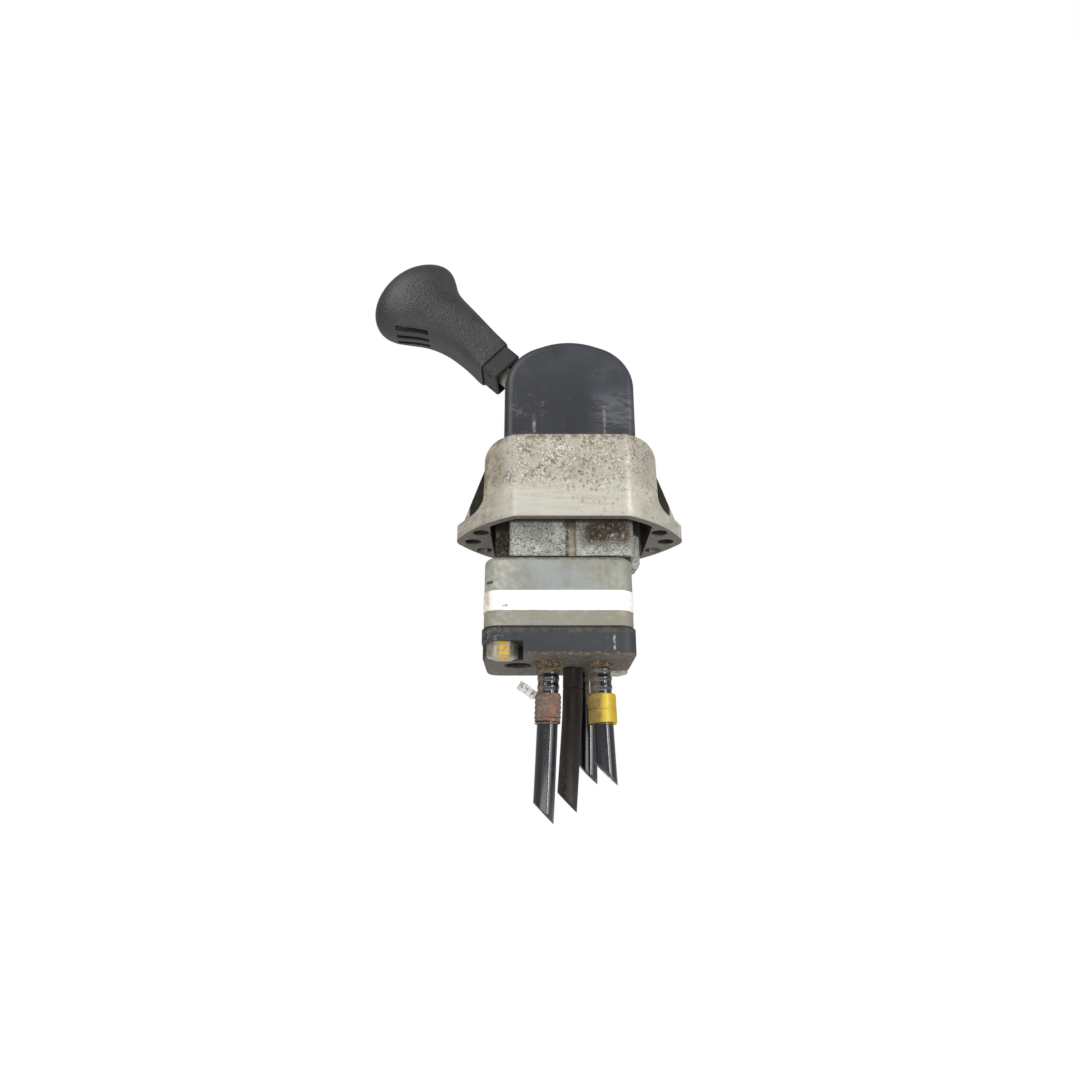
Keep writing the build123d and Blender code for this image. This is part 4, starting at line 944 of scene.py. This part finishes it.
def make_sleeve(name, pipe, outer, finish, ragged):
    """Tape sleeve wound round a pipe, with slightly uneven ends and skin."""
    path = [point for point in finer(pipe_paths[pipe], 0.0005) if sleeve_bottom <= point.z <= sleeve_top]
    shape = bmesh.new()
    middle = (path[0].z + path[-1].z) / 2
    half = (path[0].z - path[-1].z) / 2
    tube_along(
        shape,
        path,
        lambda z: outer - 0.00025 * ((z - middle) / half) ** 8 + ragged * 0.00015 * math.sin(2600 * z),
        48,
    )
    tube_along(shape, [path[0], path[-1]], lambda z: pipe_radius - 0.0001, 48)
    for upper in (True, False):
        rims = [e for e in shape.edges if e.is_boundary and (e.verts[0].co.z > middle) == upper]
        bmesh.ops.bridge_loops(shape, edges=rims)
    return add_piece(name + "_band", shape, finish, "housing", [name])


sleeve_red = make_sleeve("marker_sleeve_red", "pipe_front_left", 0.0062, red_tape, 1.0)
sleeve_yellow = make_sleeve(
    "marker_sleeve_yellow", "pipe_front_right", 0.0068, yellow_tape, 0.0
)

# ---------------------------------------------------------------- grip
pivot = Vector((0, 0, 0.066))
lever_slope = math.radians(43.0)
lever_out = Vector((-math.cos(lever_slope), 0, math.sin(lever_slope)))
lever_side = Vector((math.sin(lever_slope), 0, math.cos(lever_slope)))
lever_frame = Matrix(
    (
        (lever_side.x, 0, lever_out.x, pivot.x),
        (0, 1, 0, pivot.y),
        (lever_side.z, 0, lever_out.z, pivot.z),
        (0, 0, 0, 1),
    )
)
# Each row: distance along the lever, lower and upper edge across it, half depth, squareness above and below
socket_row = (-0.00845, 0.01105, 0.01045, 10.0, 10.0)
grip_rows = [
    (0.0662, *socket_row),
    (0.0658, *socket_row),
    (0.0574, *socket_row),
    (0.0568, *socket_row),
    (0.0566, -0.0092, 0.0118, 0.0112, 8.0, 8.0),
    (0.0571, -0.0097, 0.0123, 0.0116, 8.0, 8.0),
    (0.0600, -0.0099, 0.0127, 0.0118, 6.5, 6.5),
    (0.0640, -0.0097, 0.0133, 0.0120, 5.0, 5.0),
    (0.0680, -0.0096, 0.0140, 0.0122, 4.0, 4.2),
    (0.0760, -0.0097, 0.0154, 0.0127, 3.2, 3.8),
    (0.0840, -0.0105, 0.0167, 0.0131, 2.8, 3.5),
    (0.0920, -0.0128, 0.0178, 0.0134, 2.6, 3.2),
    (0.0990, -0.0166, 0.0188, 0.0138, 2.4, 2.9),
    (0.1050, -0.0213, 0.0206, 0.0144, 2.3, 2.7),
    (0.1100, -0.0252, 0.0242, 0.0149, 2.2, 2.6),
    (0.1150, -0.0276, 0.0272, 0.0152, 2.15, 2.5),
    (0.1200, -0.0280, 0.0282, 0.0152, 2.1, 2.4),
    (0.1250, -0.0264, 0.0266, 0.0148, 2.1, 2.3),
    (0.1300, -0.0224, 0.0226, 0.0134, 2.05, 2.2),
    (0.1340, -0.0166, 0.0168, 0.0108, 2.0, 2.1),
    (0.1362, -0.0094, 0.0096, 0.0068, 2.0, 2.0),
]
chin_slots = (-0.0082, -0.0028, 0.0028, 0.0082)
slot_width = 0.0026
slot_left, slot_right = -0.0966, -0.0780
slot_ceiling = 0.1260
slot_reach = 0.030


def grip_shape():
    """Grip as rings extruded along the lever, from the collar's socket over its rim to the rounded head."""
    shape = bmesh.new()
    segments = 48
    ring = bmesh.ops.create_circle(shape, segments=segments, radius=1.0, cap_ends=True)["verts"]
    edges = list({edge for vertex in ring for edge in vertex.link_edges})
    rings = [ring]
    for _ in grip_rows[1:]:
        grown = bmesh.ops.extrude_edge_only(shape, edges=edges)["geom"]
        ring = [item for item in grown if isinstance(item, bmesh.types.BMVert)]
        edges = [item for item in grown if isinstance(item, bmesh.types.BMEdge)]
        rings.append(ring)
    bmesh.ops.holes_fill(shape, edges=edges, sides=segments)
    for ring, (u, low, high, half_depth, above, below) in zip(rings, grip_rows):
        for vertex in ring:
            turn = math.atan2(vertex.co.y, vertex.co.x)
            c, s = math.cos(turn), math.sin(turn)
            square = above if c > 0 else below
            reach = (abs(c) ** square + abs(s) ** square) ** (-1 / square)
            across = (low + high) / 2 + (high - low) / 2 * reach * c
            vertex.co = (across, half_depth * reach * s, u)
    crown = [face for face in shape.faces if len(face.verts) > 4 and face.verts[0].co.z > 0.13]
    bmesh.ops.inset_individual(shape, faces=crown, thickness=0.003, depth=0.0)
    bmesh.ops.transform(shape, matrix=lever_frame, verts=shape.verts)
    return shape


def slot_cutter(back):
    """Block with rounded edges that cuts one slot in the underside of the head."""
    shape = bmesh.new()
    bmesh.ops.create_cube(shape, size=1.0)
    bmesh.ops.scale(shape, vec=(slot_right - slot_left, slot_width, slot_reach), verts=shape.verts)
    middle = ((slot_left + slot_right) / 2, back, slot_ceiling - slot_reach / 2)
    bmesh.ops.translate(shape, vec=middle, verts=shape.verts)
    bmesh.ops.bevel(
        shape, geom=shape.edges[:], affect="EDGES", offset=0.0006, segments=2, profile=0.5, material=-1
    )
    mesh = bpy.data.meshes.new("slot_cutter")
    shape.to_mesh(mesh)
    shape.free()
    return bpy.data.objects.new("slot_cutter", mesh)


def carve(piece, cutters):
    """Cut the given blocks out of a piece and keep the result as its mesh."""
    for cutter in cutters:
        scene.collection.objects.link(cutter)
        cut = piece.modifiers.new("slot", "BOOLEAN")
        cut.operation = "DIFFERENCE"
        cut.solver = "EXACT"
        cut.object = cutter
    depsgraph = bpy.context.evaluated_depsgraph_get()
    carved = bpy.data.meshes.new_from_object(piece.evaluated_get(depsgraph))
    piece.modifiers.clear()
    piece.data = carved
    carved.set_sharp_from_angle(angle=math.radians(38))
    for cutter in cutters:
        bpy.data.objects.remove(cutter)


grip_piece = add_piece(
    "grip_moulding", grip_shape(), grip_plastic, "lever", ["grip"], levels=2
)
carve(grip_piece, [slot_cutter(back) for back in chin_slots])


# ---------------------------------------------------------------- dirt and the torn tag
def lumpy(position, scale, amount):
    """Uneven offset for matted dirt."""
    return amount * noise.noise(position * scale)


def dirt_ring(name, pipe, low, high, thickness):
    """Matted dirt round the root of a pipe, thick at the plate and ragged below."""
    heights = (high, (3 * high + low) / 4, (high + low) / 2, low)
    path = [Vector(pipe_routes[pipe][0][:2] + (z,)) for z in heights]
    shape = bmesh.new()
    tube_along(
        shape,
        finer(path, 0.0007),
        lambda z: pipe_radius + thickness * (z - low) / (high - low) + 0.0001,
        56,
    )
    for vertex in shape.verts:
        outward = Vector((vertex.co.x - path[0].x, vertex.co.y - path[0].y, 0)).normalized()
        vertex.co += outward * (0.0005 + lumpy(vertex.co, 900, 0.0007))
        if vertex.co.z < high - 0.0012:
            vertex.co.z += lumpy(vertex.co, 420, 0.0018)
    lower = [e for e in shape.edges if e.is_boundary and e.verts[0].co.z < (low + high) / 2]
    grown = bmesh.ops.extrude_edge_only(shape, edges=lower)["geom"]
    for vertex in (item for item in grown if isinstance(item, bmesh.types.BMVert)):
        inward = Vector((vertex.co.x - path[0].x, vertex.co.y - path[0].y, 0)).normalized()
        vertex.co = Vector((path[0].x, path[0].y, vertex.co.z)) + inward * (pipe_radius - 0.0002)
    return add_piece(name, shape, dirt, "housing")


dirt_ring("root_dirt_left", "pipe_front_left", -0.0695, -0.0647, 0.0016)
dirt_ring("root_dirt_right", "pipe_front_right", -0.0680, -0.0647, 0.0008)

shape = bmesh.new()
bmesh.ops.create_grid(shape, x_segments=18, y_segments=8, size=0.5)
for vertex in shape.verts:
    along, up = vertex.co.x, vertex.co.y
    wave = 0.0006 * math.sin(9 * along) + 0.0002 * math.sin(31 * up)
    vertex.co = Vector((along * tag_half_width, wave, up * tag_half_height))
    vertex.co += Vector((0, lumpy(vertex.co, 700, 0.0006), lumpy(vertex.co, 500, 0.0008)))
tilt = Matrix.Rotation(math.radians(tag_turn), 3, "Y")
bmesh.ops.rotate(shape, cent=(0, 0, 0), matrix=tilt, verts=shape.verts)
bmesh.ops.translate(shape, vec=(-0.0212, -0.0080, -0.0785), verts=shape.verts)
tag = add_piece("torn_paper_tag", shape, paper, "housing", ["paper_tag"])
stiffen = tag.modifiers.new("thickness", "SOLIDIFY")
stiffen.thickness = 0.0002
